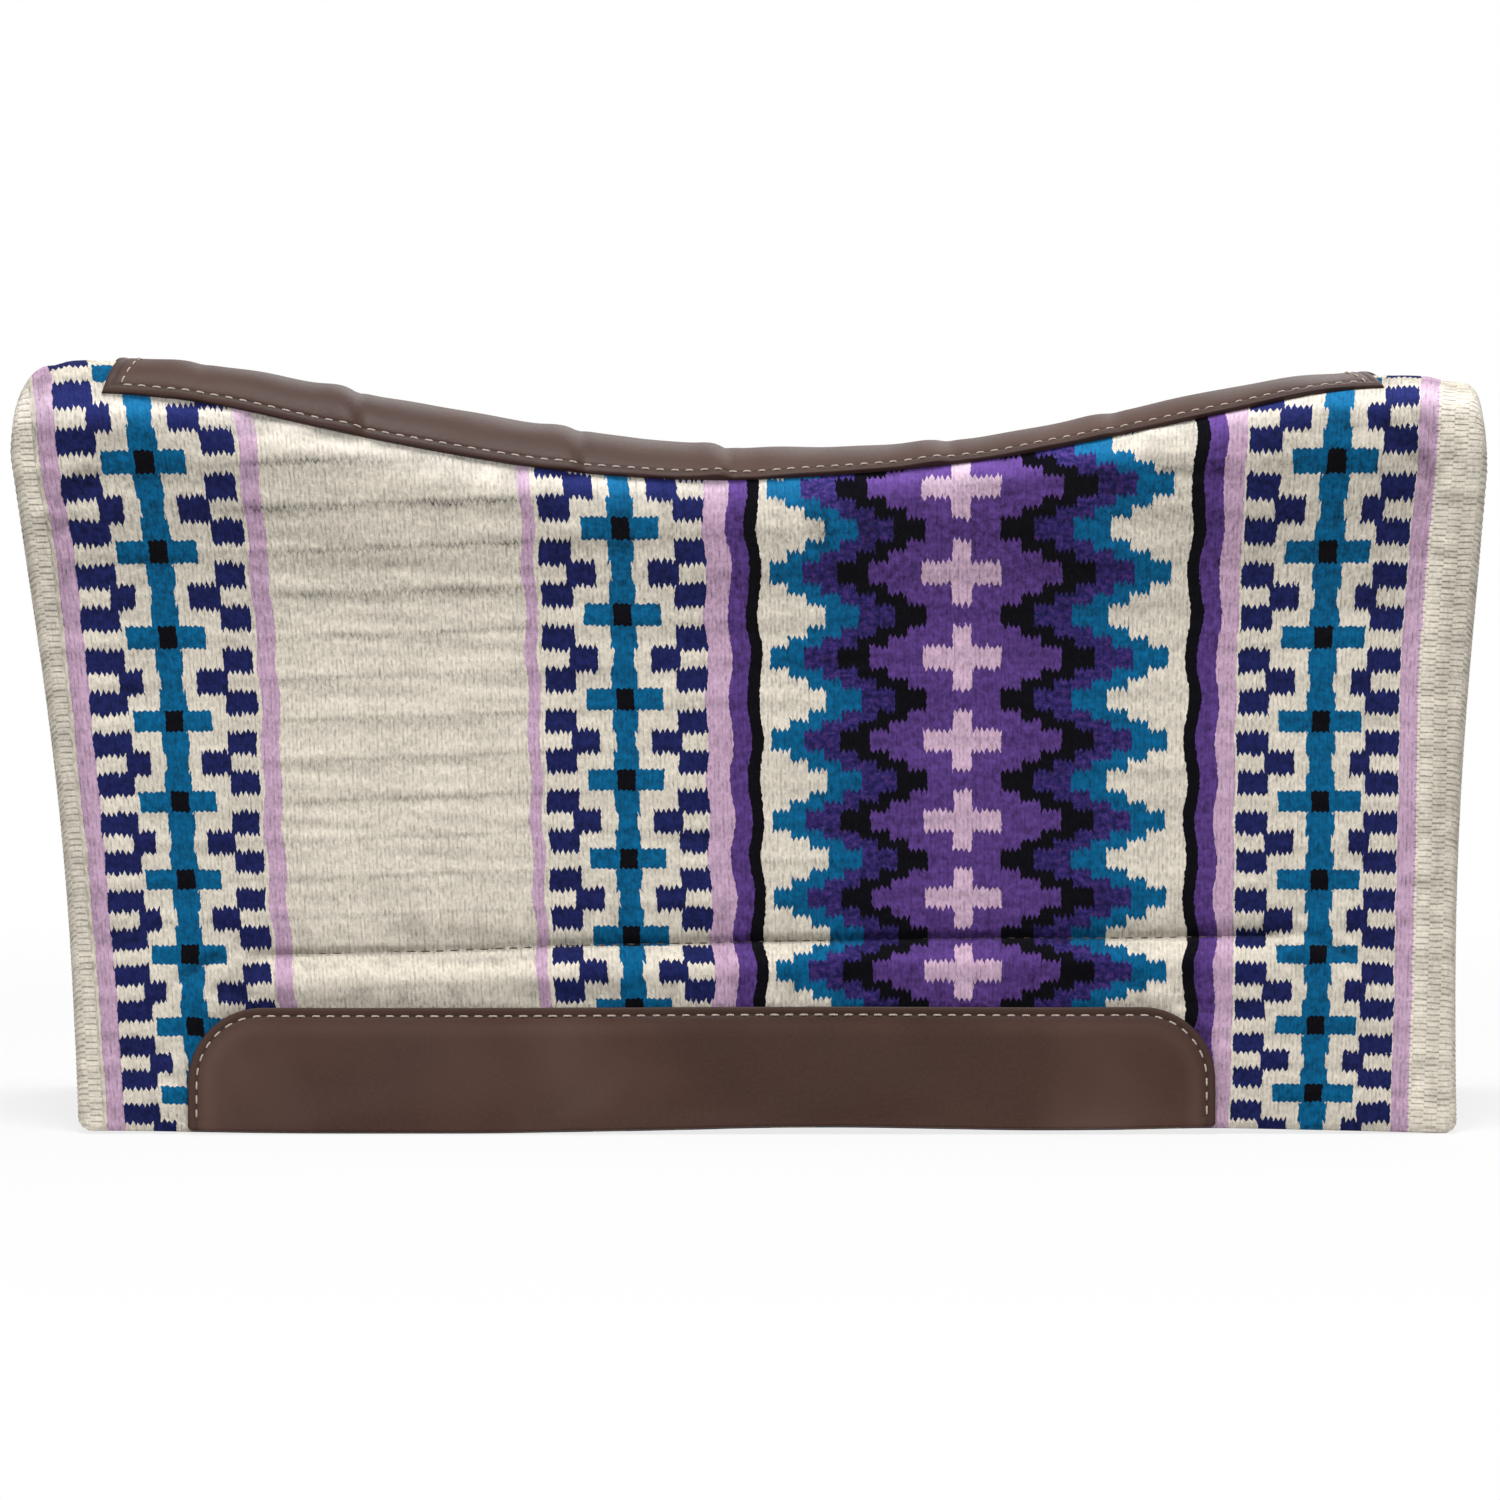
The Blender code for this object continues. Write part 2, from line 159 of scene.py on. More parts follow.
def placed(x, slope, depth, side, lift=0.0):
    # a point under the outer face, square to it; lift stands proud of it
    x, slope, depth, lift = np.broadcast_arrays(x, slope, depth, lift)
    footShare = np.clip(1 - slope * math.cos(sideTilt) / form["leanHeight"], 0, 1)
    arch = curve(x, form["arch"]) * (1 - eased(slope / form["archFade"]))
    slope = slope + depth * math.tan(sideTilt) * footShare + arch
    step = 0.0002
    y, z = outerLine(x, slope)
    yUp, zUp = outerLine(x, slope + step)
    yDown, zDown = outerLine(x, slope - step)
    length = np.hypot(yUp - yDown, zUp - zDown)
    normalY, normalZ = (zUp - zDown) / length, (yDown - yUp) / length
    y = y + normalY * (lift - depth)
    z = z + normalZ * (lift - depth)
    return np.stack([x, side * (y + form["halfGap"]), z], axis=-1)


def edgeX(height, end):
    name = "front" if end < 0 else "rear"
    taper, bow, setback = form[name + "Taper"], form[name + "Bow"], form[name + "Setback"]
    shoulder = ridgeHeight(np.asarray(end * form["length"] / 2)) - form["shoulderDrop"]
    below = np.clip((shoulder - height) / shoulder, 0, 1)
    above = np.clip((height - shoulder) / form["shoulderDrop"], 0, 1)
    inset = taper * below + bow * np.sin(np.pi * below ** form["bowPower"])
    inset = inset + setback * (1 - np.sqrt(np.clip(1 - above * above, 0, 1)))
    corner = form["footCorner"]
    low = np.clip((corner - height) / corner, 0, 1)
    inset = inset + corner * (1 - np.sqrt(np.clip(1 - low * low, 0, 1)))
    return end * (form["length"] / 2 - inset)


def rowEdges(rowKind, rowValue):
    # the front and rear edge of each row, where a row is a slope length or a share of the crown
    edges = []
    for end in (-1, 1):
        x = np.full(len(rowKind), end * form["length"] / 2)
        slope = np.where(rowKind == 0, rowValue, mixed(foldSlope, topSlope(x), rowValue))
        height = np.where(rowKind == 0, rowValue * math.cos(sideTilt), outerLine(x, slope)[1])
        edges.append(edgeX(height, end))
    return edges


def rowSlope(kind, value, x):
    # the slope length at each point of rows over x
    return np.where(kind[:, None] == 0, value[:, None], mixed(foldSlope, topSlope(x), value[:, None]))


def linear(red, green, blue):
    # a colour as seen on a screen, 0 to 255, turned into shader values
    return tuple((c / 255 / 12.92 if c <= 10 else ((c / 255 + 0.055) / 1.055) ** 2.4)
                 for c in (red, green, blue)) + (1.0,)


class Tone:
    # a value in a material's nodes; arithmetic and comparisons on it make the Math nodes
    def __init__(self, dyer, socket):
        self.dyer, self.socket = dyer, socket

    def __add__(self, other):
        return self.dyer.calc("ADD", self, other)

    def __sub__(self, other):
        return self.dyer.calc("SUBTRACT", self, other)

    def __rsub__(self, other):
        return self.dyer.calc("SUBTRACT", other, self)

    def __mul__(self, other):
        return self.dyer.calc("MULTIPLY", self, other)

    def __lt__(self, other):
        return self.dyer.calc("LESS_THAN", self, other)

    def __gt__(self, other):
        return self.dyer.calc("GREATER_THAN", self, other)


class Dyer:
    # builds the nodes of one material or world; numbers and tones mix freely in its calls
    def __init__(self, name, world=False):
        self.finished = (bpy.data.worlds if world else bpy.data.materials).new(name)
        self.finished.use_nodes = True
        self.tree = self.finished.node_tree

    def plug(self, socket, value):
        if isinstance(value, Tone):
            self.tree.links.new(value.socket, socket)
        elif value is not None:
            socket.default_value = value

    def node(self, kind, inputs=(), output=0, **settings):
        made = self.tree.nodes.new("ShaderNode" + kind)
        for name, value in settings.items():
            setattr(made, name, value)
        self.fill(made, inputs)
        return Tone(self, made.outputs[output])

    def fill(self, made, inputs):
        for place, value in (inputs.items() if isinstance(inputs, dict) else enumerate(inputs)):
            self.plug(made.inputs[place], value)

    def outputs(self, tone, *names):
        return [Tone(self, tone.socket.node.outputs[name]) for name in names]

    def calc(self, operation, *values):
        return self.node("Math", values, operation=operation)

    def zigzag(self, value, top):
        # up and down between 0 and the top
        return self.calc("PINGPONG", value, top)

    def larger(self, a, b):
        return self.calc("MAXIMUM", a, b)

    def range(self, value, low, high, toLow=0.0, toHigh=1.0, kind="LINEAR"):
        return self.node("MapRange", (value, low, high, toLow, toHigh), interpolation_type=kind)

    def soft(self, value, low, high, toLow=0.0, toHigh=1.0):
        return self.range(value, low, high, toLow, toHigh, "SMOOTHSTEP")

    def uv(self, name):
        return self.node("UVMap", uv_map=name)

    def within(self, value, low, high):
        return (value > low) * (value < high)

    def split(self, vector, count=2):
        return self.outputs(self.node("SeparateXYZ", (vector,)), *range(count))

    def join(self, x, y):
        return self.node("CombineXYZ", (x, y))

    def mix(self, share, a, b, blend="MIX"):
        return self.node("Mix", {0: share, 6: a, 7: b}, 2, data_type="RGBA", blend_type=blend)

    def coated(self, colour, *coats):
        # colours laid over one another, each with its share
        for share, coat in coats:
            colour = self.mix(share, colour, coat)
        return colour

    def ramp(self, value, stops, low, high):
        # flat colours; stops are (place, colour), with places between low and high
        made = self.node("ValToRGB", (self.range(value, low, high),))
        band = made.socket.node.color_ramp
        band.interpolation = "CONSTANT"
        while len(band.elements) < len(stops):
            band.elements.new(1.0)
        for element, (place, colour) in zip(band.elements, stops):
            element.position = (place - low) / (high - low)
            element.color = colour
        return self.outputs(made, 0, 1)

    def noise(self, vector, scale, detail=2.0, rough=0.5, distortion=0.0):
        return self.node("TexNoise", {"Vector": vector, "Scale": scale, "Detail": detail, "Roughness": rough,
                                      "Distortion": distortion})

    def stray(self, vector, scale, amount):
        # noise about 0
        return (self.noise(vector, scale) - 0.5) * amount

    def bump(self, height, distance, strength=1.0, under=None):
        return self.node("Bump", {"Distance": distance, "Strength": strength, "Height": height,
                                  "Normal": under})

    def between(self, share, a, b):
        return self.node("MixShader", (share, a, b))

    def finish(self, colour, roughness, normal=None, **others):
        self.fill(self.tree.nodes["Principled BSDF"],
                  {"Base Color": colour, "Roughness": roughness, "Normal": normal, **others})
        return self.finished


weld = 0.00002  # points closer than this become one


def hung(name, data, place=(0, 0, 0), turn=(0, 0, 0)):
    thing = bpy.data.objects.new(name, data)
    bpy.context.scene.collection.objects.link(thing)
    thing.location, thing.rotation_euler = place, turn
    return thing


def meshPiece(name, points, faces, material, uvs=None, sharp=None):
    # uvs: {map name: one (u, v) for each point}
    data = bpy.data.meshes.new(name)
    data.from_pydata([tuple(p) for p in points], [], faces)
    loops = np.empty(len(data.loops), np.int32)
    data.loops.foreach_get("vertex_index", loops)
    for label, values in (uvs or {}).items():
        layer = data.uv_layers.new(name=label)
        layer.data.foreach_set("uv", np.asarray(values, np.float32)[loops].ravel())
    data.materials.append(material)
    piece = hung(name, data)
    work = bmesh.new()
    work.from_mesh(data)
    bmesh.ops.remove_doubles(work, verts=work.verts, dist=weld)
    bmesh.ops.dissolve_degenerate(work, edges=work.edges, dist=weld / 2)
    bmesh.ops.recalc_face_normals(work, faces=work.faces)
    work.to_mesh(data)
    work.free()
    data.shade_smooth()
    if sharp:
        data.set_sharp_from_angle(angle=math.radians(sharp))
    return piece


def shellFaces(rows, columns, keptRows, keptColumns, offset):
    # quads over a fine grid, quads over a coarse one behind it, and a rim that joins the two
    fine = lambda r, c: r * columns + c
    place = {}
    for i, r in enumerate(keptRows):
        for j, c in enumerate(keptColumns):
            place[(r, c)] = offset + i * len(keptColumns) + j
    faces = [(fine(r, c), fine(r, c + 1), fine(r + 1, c + 1), fine(r + 1, c))
             for r in range(rows - 1) for c in range(columns - 1)]
    for r, rNext in zip(keptRows, keptRows[1:]):
        for c, cNext in zip(keptColumns, keptColumns[1:]):
            faces.append((place[r, c], place[rNext, c], place[rNext, cNext], place[r, cNext]))
    for r in (0, rows - 1):
        for c, cNext in zip(keptColumns, keptColumns[1:]):
            faces.append((place[r, c], place[r, cNext], *[fine(r, k) for k in range(cNext, c - 1, -1)]))
    for c in (0, columns - 1):
        for r, rNext in zip(keptRows, keptRows[1:]):
            faces.append((place[r, c], place[rNext, c], *[fine(k, c) for k in range(rNext, r - 1, -1)]))
    return faces


def kept(count, fixed, step):
    # indices of the coarse grid: the fixed ones, and one in every few between them
    marks = sorted({0, count - 1, *fixed})
    found = []
    for a, b in zip(marks, marks[1:]):
        parts = max(1, round((b - a) / step))
        found += [a + round((b - a) * i / parts) for i in range(parts)]
    return [*dict.fromkeys(found), count - 1]


def backedPiece(name, seen, hidden, steps, maps, material, sharp, fixed=((), ())):
    # a fine face and a coarse one behind it, joined by a rim; steps and fixed are for rows and columns
    rowCount, columnCount = seen.shape[:2]
    keptRows, keptColumns = kept(rowCount, fixed[0], steps[0]), kept(columnCount, fixed[1], steps[1])
    coarse = np.ix_(keptRows, keptColumns)

    def both(front, back):
        return np.concatenate([front.reshape(-1, front.shape[-1]), back[coarse].reshape(-1, back.shape[-1])])

    faces = shellFaces(rowCount, columnCount, keptRows, keptColumns, rowCount * columnCount)
    uvs = {label: both(values, values) for label, values in maps.items()}
    return meshPiece(name, both(seen, hidden), faces, material, uvs, sharp)


def waves(seed, x, slope, lengths, stretch, amount):
    # long soft ripples across the cloth, the same on every run
    rng = np.random.default_rng(seed)
    total = np.zeros(np.broadcast(x, slope).shape)
    for length in lengths:
        for _ in range(3):
            own = length * rng.uniform(0.8, 1.25)
            lean = rng.uniform(-1, 1) / (length * stretch)
            phase = rng.uniform(0, 2 * np.pi)
            ripple = np.sin(2 * np.pi * (slope / own + x * lean) + phase)
            total = total + ripple * math.sqrt(length / max(lengths))
    return total * amount / math.sqrt(3 * len(lengths))


figure = {
    "fanX": 0.1413, "fanRate": 1.05e-4, "fanRows": 669.0, "pixel": 0.615,
    "rowTop": 411.4, "rowPitch": 55.66, "rowTighten": 0.884,
    # the rows rise towards the front from this place on, over this length
    "tilt": 0.022, "tiltX": -0.3503, "tiltReach": 0.08,
    # stripes that sway in time with the rows: amount, place, width, and with a phase of their own
    "sways": ((0.0016, -0.012, 0.030), (-0.0015, 0.268, 0.020)), "swayRow": 0.24,
    "drifts": ((0.0009, 1.0, -0.292), (0.0010, 2.0, -0.134)), "driftWidth": 0.02,
    # how far the stripes stray from their straight lines, in mm at these slope lengths
    "slopes": (0.0, 0.088, 0.180, 0.278, 0.358, 0.410, 0.450),
    "strays": {
        -0.405: (-4.4, -2.0, -1.6, -2.0, -3.2, -7.8, -7.2), -0.350: (-2.8, -2.2, -0.3, 0.9, -0.2, -4.0, -5.8),
        -0.290: (-5.0, -5.4, -6.2, -2.0, -3.2, -4.6, -6.0), -0.134: (-2.3, -2.6, -2.0, 0.0, 0.5, 0.3, 0.0),
        -0.050: (-0.7, -0.8, -1.0, 0.5, 1.4, 1.2, 1.2), 0.125: (0, 0, 0, 0, 0, 0, 0),
        0.262: (-0.5, 0.0, -1.6, -2.0, -1.2, 0.3, 0.0), 0.340: (1.2, 2.0, 0.6, -1.4, 0.2, 3.4, 4.2),
        0.393: (1.8, 1.0, -0.5, -3.0, -0.6, 2.4, 2.4),
    },
}


def strayAt(across, slope):
    places = np.array(list(figure["strays"]))
    onLines = np.array([np.interp(slope, figure["slopes"], mm) for mm in figure["strays"].values()]) / 1000
    across = np.clip(across, places[0], places[-1])
    after = np.clip(np.searchsorted(places, across), 1, len(places) - 1)
    share = (across - places[after - 1]) / (places[after] - places[after - 1])
    before = np.take_along_axis(onLines, (after - 1)[None], axis=0)[0]
    return mixed(before, np.take_along_axis(onLines, after[None], axis=0)[0], eased(share))


def clothCoordinates(x, slope):
    # where a point lies in the weave: the stripes fan out downwards, and the rows draw closer
    x, slope = np.broadcast_arrays(x, slope)
    slopeMm = slope * 1000
    fan = 1 - figure["fanRate"] * (figure["fanRows"] - slopeMm / figure["pixel"])
    across = figure["fanX"] + (x - figure["fanX"]) / fan
    across = across - strayAt(across, slope) / fan
    tilt = figure["tilt"] * np.clip(figure["tiltX"] - across, 0, figure["tiltReach"]) * 1000
    inside = figure["rowPitch"] ** 2 - 4 * figure["rowTighten"] * (figure["rowTop"] - slopeMm - tilt)
    row = (figure["rowPitch"] - np.sqrt(np.clip(inside, 1, None))) / (2 * figure["rowTighten"])
    beat = np.cos(2 * np.pi * (row - figure["swayRow"]))
    sway = sum(amount * bell(across - place, width) for amount, place, width in figure["sways"])
    drift = sum(amount * np.cos(2 * np.pi * row + phase) * bell(across - place, figure["driftWidth"])
                for amount, phase, place in figure["drifts"])
    return across, across - sway * beat - drift, row


dyes = {
    "cream": linear(222, 213, 197), "pink": linear(198, 165, 190), "palePink": linear(207, 175, 197),
    "purple": linear(86, 58, 124), "darkPurple": linear(46, 37, 100),
    # the two that the darker purple is spun from
    "marlPurple": linear(72, 47, 108), "marlNavy": linear(26, 24, 68),
    "navy": linear(27, 33, 84), "teal": linear(3, 92, 136), "black": linear(5, 4, 11),
}


def bandStops(centre, left, right, arm, broad, line, middle):
    # masks of a check band: red outer blocks, green inner blocks, blue the cross's arms,
    # alpha the line, stronger towards its middle; left and right are where the inner block
    # starts, the outer block starts, the inner block ends and the outer block ends
    outer, both, inner, none = (1, 0, 0, 0), (1, 1, 0, 0), (0, 1, 0, 0), (0, 0, 0, 0)
    stops = [(-0.06, none), (-left[3], outer), (-left[2], both), (-left[1], inner), (-arm, (0, 1, 1, 0)),
             (-left[0], (0, 0, 1, 0)), (-broad, (0, 0, 1, 0.25)), (-line, (0, 0, 1, 0.5)),
             (-middle, (0, 0, 1, 1)), (middle, (0, 0, 1, 0.5)), (line, (0, 0, 1, 0.25)),
             (broad, (0, 0, 1, 0)), (right[0], (0, 1, 1, 0)), (arm, inner),
             (right[1], both), (right[2], outer), (right[3], none)]
    return stops, centre


bands = [
    bandStops(-0.3497, (0.0162, 0.0257, 0.0298, 0.0474), (0.0159, 0.0333, 0.0356, 0.0531),
              0.0239, 0.0080, 0.0067, 0.0055),
    bandStops(-0.0782, (0.0150, 0.0287, 0.0320, 0.0476), (0.0156, 0.0311, 0.0330, 0.0495),
              0.0227, 0.0079, 0.0060, 0.0052),
    bandStops(0.3405, (0.0158, 0.0313, 0.0332, 0.0496), (0.0176, 0.0274, 0.0305, 0.0480),
              0.0249, 0.0089, 0.0070, 0.0056),
]
stripes = [
    (-0.47, "cream"), (-0.4106, "pink"), (-0.3992, "cream"), (-0.2974, "pink"), (-0.2847, "cream"),
    (-0.1395, "pink"), (-0.1312, "cream"), (-0.0306, "pink"), (-0.0177, "purple"), (-0.0068, "black"),
    (0.0036, "cream"), (0.2574, "black"), (0.2645, "purple"), (0.2780, "pink"), (0.2878, "cream"),
    (0.3871, "pink"), (0.3990, "cream"),
]


# the steps of the figures; their heights are shares of a row of figures, from its middle
stepping = {
    # where the middle band and the zigzags lie, and how far their rows are set off
    "middleBand": (-0.16, -0.01), "middleOff": 0.27, "zigzags": (-0.01, 0.27), "zigzagOff": -0.24,
    # rows of the check bands: crosses, inner blocks, and outer blocks, whose rows are set off once more
    "cross": 0.13, "inner": 0.352, "outer": (0.108, 0.394), "blockOff": -0.022,
    # zigzags: their colours' ends and middle, how much wider the rear half is, the steps and their width
    "zone": (0.0036, 0.2574), "middle": 0.1244, "rearWider": 1.085, "rows": (0.1275, 0.2475, 0.3725),
    "width": 0.0114, "marled": (0.0400, 0.0605),
    "profile": ((-0.06, "purple"), (0.0205, "black"), (0.0400, "darkPurple"), (0.0605, "teal"),
                (0.0810, "cream")),
    # half the width and the rows of the two bars of the pink cross
    "bars": ((0.0235, 0.1275), (0.0057, 0.3725)),
}
weave = {
    # half the pitch of the comb teeth, their height in rows to a metre, and its share on the crosses
    "tooth": 0.0016, "toothHeight": 35.0, "crossTeeth": 0.4,
    # how far apart single teeth that stand out lie, upwards, and by how much
    "loneUp": 0.024, "lone": 0.042,
    # half the pitch of the yarn columns and of the ribs along the edges, and the width of a rib
    "column": 0.00125, "rib": 0.0019, "ribWidth": 0.0082,
    # how dark the painted shade in the hollows and in the belt below the crown is, and how far the painted
    # light by the spine reaches
    "darkening": 0.20, "beltShade": 0.22, "spineLightReach": 0.027,
    # where the ribbed edges start, and where the cloth between the bands has no figures
    "margins": (-0.4106, 0.399), "plain": (-0.288, -0.137),
}


def combed(d, yarn, yarnAcross, yarnUp):
    # the comb teeth in which the rows of the figures end
    tooth = d.zigzag(yarnAcross + d.stray(yarn, 140.0, 0.0014), weave["tooth"])
    cell = d.join(d.calc("FLOOR", yarnAcross * (1 / weave["tooth"])),
                  d.calc("FLOOR", yarnUp * (1 / weave["loneUp"])))
    lone = d.node("TexWhiteNoise", {"Vector": cell}, noise_dimensions="2D")
    half = weave["toothHeight"] * weave["tooth"] / 2
    return tooth * weave["toothHeight"] - half + (lone - 0.5) * weave["lone"] + d.stray(yarn, 420.0, 0.05)


def zigzagColour(d, across, beat, yarnAcross, yarnUp):
    # one profile of colours, pushed outwards in four steps
    fromMiddle = across - stepping["middle"]
    reach = d.larger(fromMiddle * (1 / stepping["rearWider"]), fromMiddle * -1.0)
    first, second, third = (beat < top for top in stepping["rows"])
    pushed = reach - (first + second + third) * stepping["width"]
    zigzag, _ = d.ramp(pushed, [(place, dyes[dye]) for place, dye in stepping["profile"]], -0.06, 0.14)
    # the darker purple is spun from two dyes
    marled = d.within(pushed, *stepping["marled"])
    spun = d.noise(d.join(yarnAcross, yarnUp * 1.3), 260.0, 2.0, 0.6)
    wide = d.calc("ABSOLUTE", fromMiddle)
    bars = [(wide < half) * (beat < top) for half, top in stepping["bars"]]
    return d.coated(zigzag, (marled * d.range(spun, 0.5, 0.6, 0, 0.75), dyes["marlPurple"]),
                    (marled * d.range(spun, 0.48, 0.38, 0, 0.75), dyes["marlNavy"]),
                    (d.larger(*bars), dyes["palePink"]))


def figureColour(d, across, row, teeth, yarnAcross, yarnUp):
    # the rows of each band start at their own height
    shift = (d.within(across, *stepping["middleBand"]) * stepping["middleOff"]
             + d.within(across, *stepping["zigzags"]) * stepping["zigzagOff"])
    beat = d.zigzag(row + teeth + shift, 0.5)
    onCross = d.zigzag(row + teeth * weave["crossTeeth"] + shift, 0.5) < stepping["cross"]
    blockBeat = d.zigzag(row + teeth + (shift + stepping["blockOff"]), 0.5)
    onInner = blockBeat > stepping["inner"]
    onOuter = d.within(blockBeat, *stepping["outer"])
    masks, lines = None, None
    for stops, centre in bands:
        found, strength = d.ramp(across - centre, stops, -0.06, 0.06)
        masks = found if masks is None else d.mix(1.0, masks, found, "ADD")
        lines = strength if lines is None else lines + strength
    outer, inner, arm = d.split(masks, 3)
    # the line is broader in the rows beside each cross
    line = d.larger(lines > 0.375, (lines > 0.125) * onOuter)
    striped, _ = d.ramp(across, [(place, dyes[dye]) for place, dye in stripes], -0.47, 0.47)
    return d.coated(striped,
                    (d.within(across, *stepping["zone"]), zigzagColour(d, across, beat, yarnAcross, yarnUp)),
                    (outer * onOuter + inner * onInner, dyes["navy"]),
                    (d.larger(line, arm * onCross), dyes["teal"]),
                    ((lines > 0.75) * onCross, dyes["black"]))


def rowShade(d, across, row, fromStrip, yarnAcross, yarnUp):
    # broken lines of painted shade where the cloth is drawn in between its rows
    sinceLine = d.calc("FRACT", (row + yarnAcross * 0.85) * 2.0 + 0.432)
    plain = d.within(across, *weave["plain"])
    gaps = d.range(d.noise(d.join(yarnAcross * 0.6, yarnUp * 3.0), 60.0), 0.34, 0.56, 0.25, 1.0)
    high = d.soft(fromStrip, 0.02, 0.13, 1.0, 0.0)
    drawn = 1.0 - d.soft(d.zigzag(sinceLine, 0.5), 0.0, 0.055)
    drawn = drawn * gaps * d.range(plain, 0, 1, 0.3, 1.0) * d.range(high, 0, 1, 0.2, 0.34)
    # between them, painted highlight and shade where the rows swell towards the light
    swell = d.soft(sinceLine, 0.0, 0.64) * d.soft(sinceLine, 0.68, 0.98, 1.0, 0.0) - 0.45
    return swell * (d.range(gaps, 0.25, 1.0, 0.4, 1.0) * d.range(high, 0, 1, 0.1, 0.22)) - drawn


def woolMaterial():
    d = Dyer("woven wool")
    across, row = d.split(d.uv("figure"))
    yarnAcross, yarnUp = d.split(d.uv("yarn"))
    hollow, fromStrip = d.split(d.uv("hollow"))
    yarn = d.join(yarnAcross, yarnUp)
    # the edges of the figures wander a little
    across = across + (d.stray(yarn, 55.0, 0.003) + d.stray(yarn, 330.0, 0.0022))
    teeth = combed(d, yarn, yarnAcross, yarnUp)
    colour = figureColour(d, across, row, teeth, yarnAcross, yarnUp)
    dyed = d.node("RGBToBW", (colour,))
    # upright columns of short floats, each with its own shade
    wobble = d.stray(yarn, 90.0, 0.0011)
    furrow = d.soft(d.zigzag(yarnAcross + wobble, weave["column"]), 0.0, 0.00055, 1.0, 0.0)
    furrow = furrow * d.soft(d.noise(d.join(yarnAcross * 1.9, yarnUp), 190.0), 0.4, 0.62)
    floats = d.noise(d.join(yarnAcross * 2.2, yarnUp), 165.0, 1.0)
    speck = d.noise(d.join(yarnAcross * 1.5, yarnUp), 360.0, 1.0)
    fine = d.noise(yarn, 1150.0, 3.0, 0.7)
    broad = d.noise(yarn, 34.0, 3.0, 0.55)
    uneven = d.noise(yarn, 240.0, 2.0, 0.55, 0.3)
    # ribs along both edges, in upright columns, each half a rib lower than the next
    frontMargin, rearMargin = weave["margins"]
    margin = d.larger(across > rearMargin, across < frontMargin)
    ribColumn = d.calc("FLOOR", (yarnAcross + wobble * 1.6) * (1 / weave["ribWidth"]))
    ribUp = yarnUp + wobble + d.calc("FRACT", ribColumn * 0.5) * (2 * weave["rib"])
    ribJoint = 1.0 - d.soft(d.zigzag(ribUp, weave["rib"]), 0.0, 0.00105)
    ribJoint = ribJoint * d.range(d.noise(yarn, 120.0), 0.36, 0.6, 0.3, 1.0)
    calm = d.range(margin, 0, 1, 1.0, 0.55)
    joint = d.larger(furrow * (calm * 0.5), margin * (ribJoint * 1.3))
    level = ((d.range(floats, 0.34, 0.66, -0.1, 0.08) + d.range(speck, 0.34, 0.66, -0.09, 0.08)) * calm
             + (d.range(broad, 0.34, 0.66, -0.05, 0.06) + d.range(fine, 0.36, 0.64, -0.07, 0.07)))
    # painted shade in the hollows and painted highlight on the ridges and the roll, and painted light beside
    # the spine
    level = level - hollow * weave["darkening"]
    paintedSpineLight = (d.soft(fromStrip, 0.002, weave["spineLightReach"], 1.0, 0.0)
            * d.range(fromStrip, -0.01, 0.001, 0.1, 1.0))
    level = level + paintedSpineLight * d.range(dyed, 0.0, 0.6, 1.25, 0.36)
    # painted shade in a belt below the crown
    under = d.soft(yarnUp, 0.275, 0.36) * d.range(yarnUp, 0.4, 0.44, 1.0, 0.4)
    under = under * d.range(margin, 0, 1, 1.0, 0.2)
    level = level - under * (1.0 - paintedSpineLight) * weave["beltShade"]
    # dark dyes are less even, and the edges are paler, most of all near the spine, as painted light, and near
    # the foot
    level = level + d.range(uneven, 0.34, 0.66, -0.26, 0.26) * d.range(dyed, 0.05, 0.4, 1.0, 0.1)
    level = level + margin * d.soft(fromStrip, 0.0, 0.1, 0.2, 0.06)
    level = level + margin * d.soft(yarnUp, 0.02, 0.2, 0.16, 0.0)
    level = level - joint * 0.22 + rowShade(d, across, row + teeth, fromStrip, yarnAcross, yarnUp)
    # shades change the dye's brightness, and the painted light beside the spine takes more colour out of pale
    # dyes
    spineLightSaturation = 1.0 - paintedSpineLight * d.range(dyed, 0.1, 0.45, 0.03, 0.2)
    colour = d.node("HueSaturation", {"Color": colour, "Value": level + 1.0, "Saturation": spineLightSaturation})
    # relief of the yarns and of the loose fibres on them
    height = (1.0 - joint) * 0.9 + fine * 0.3 + floats * 0.9 + speck * 0.5
    return d.finish(colour, 0.95, d.bump(height, 0.0011, 0.9),
                    **{"Specular IOR Level": 0.03, "Sheen Weight": 0.03, "Sheen Roughness": 0.7})


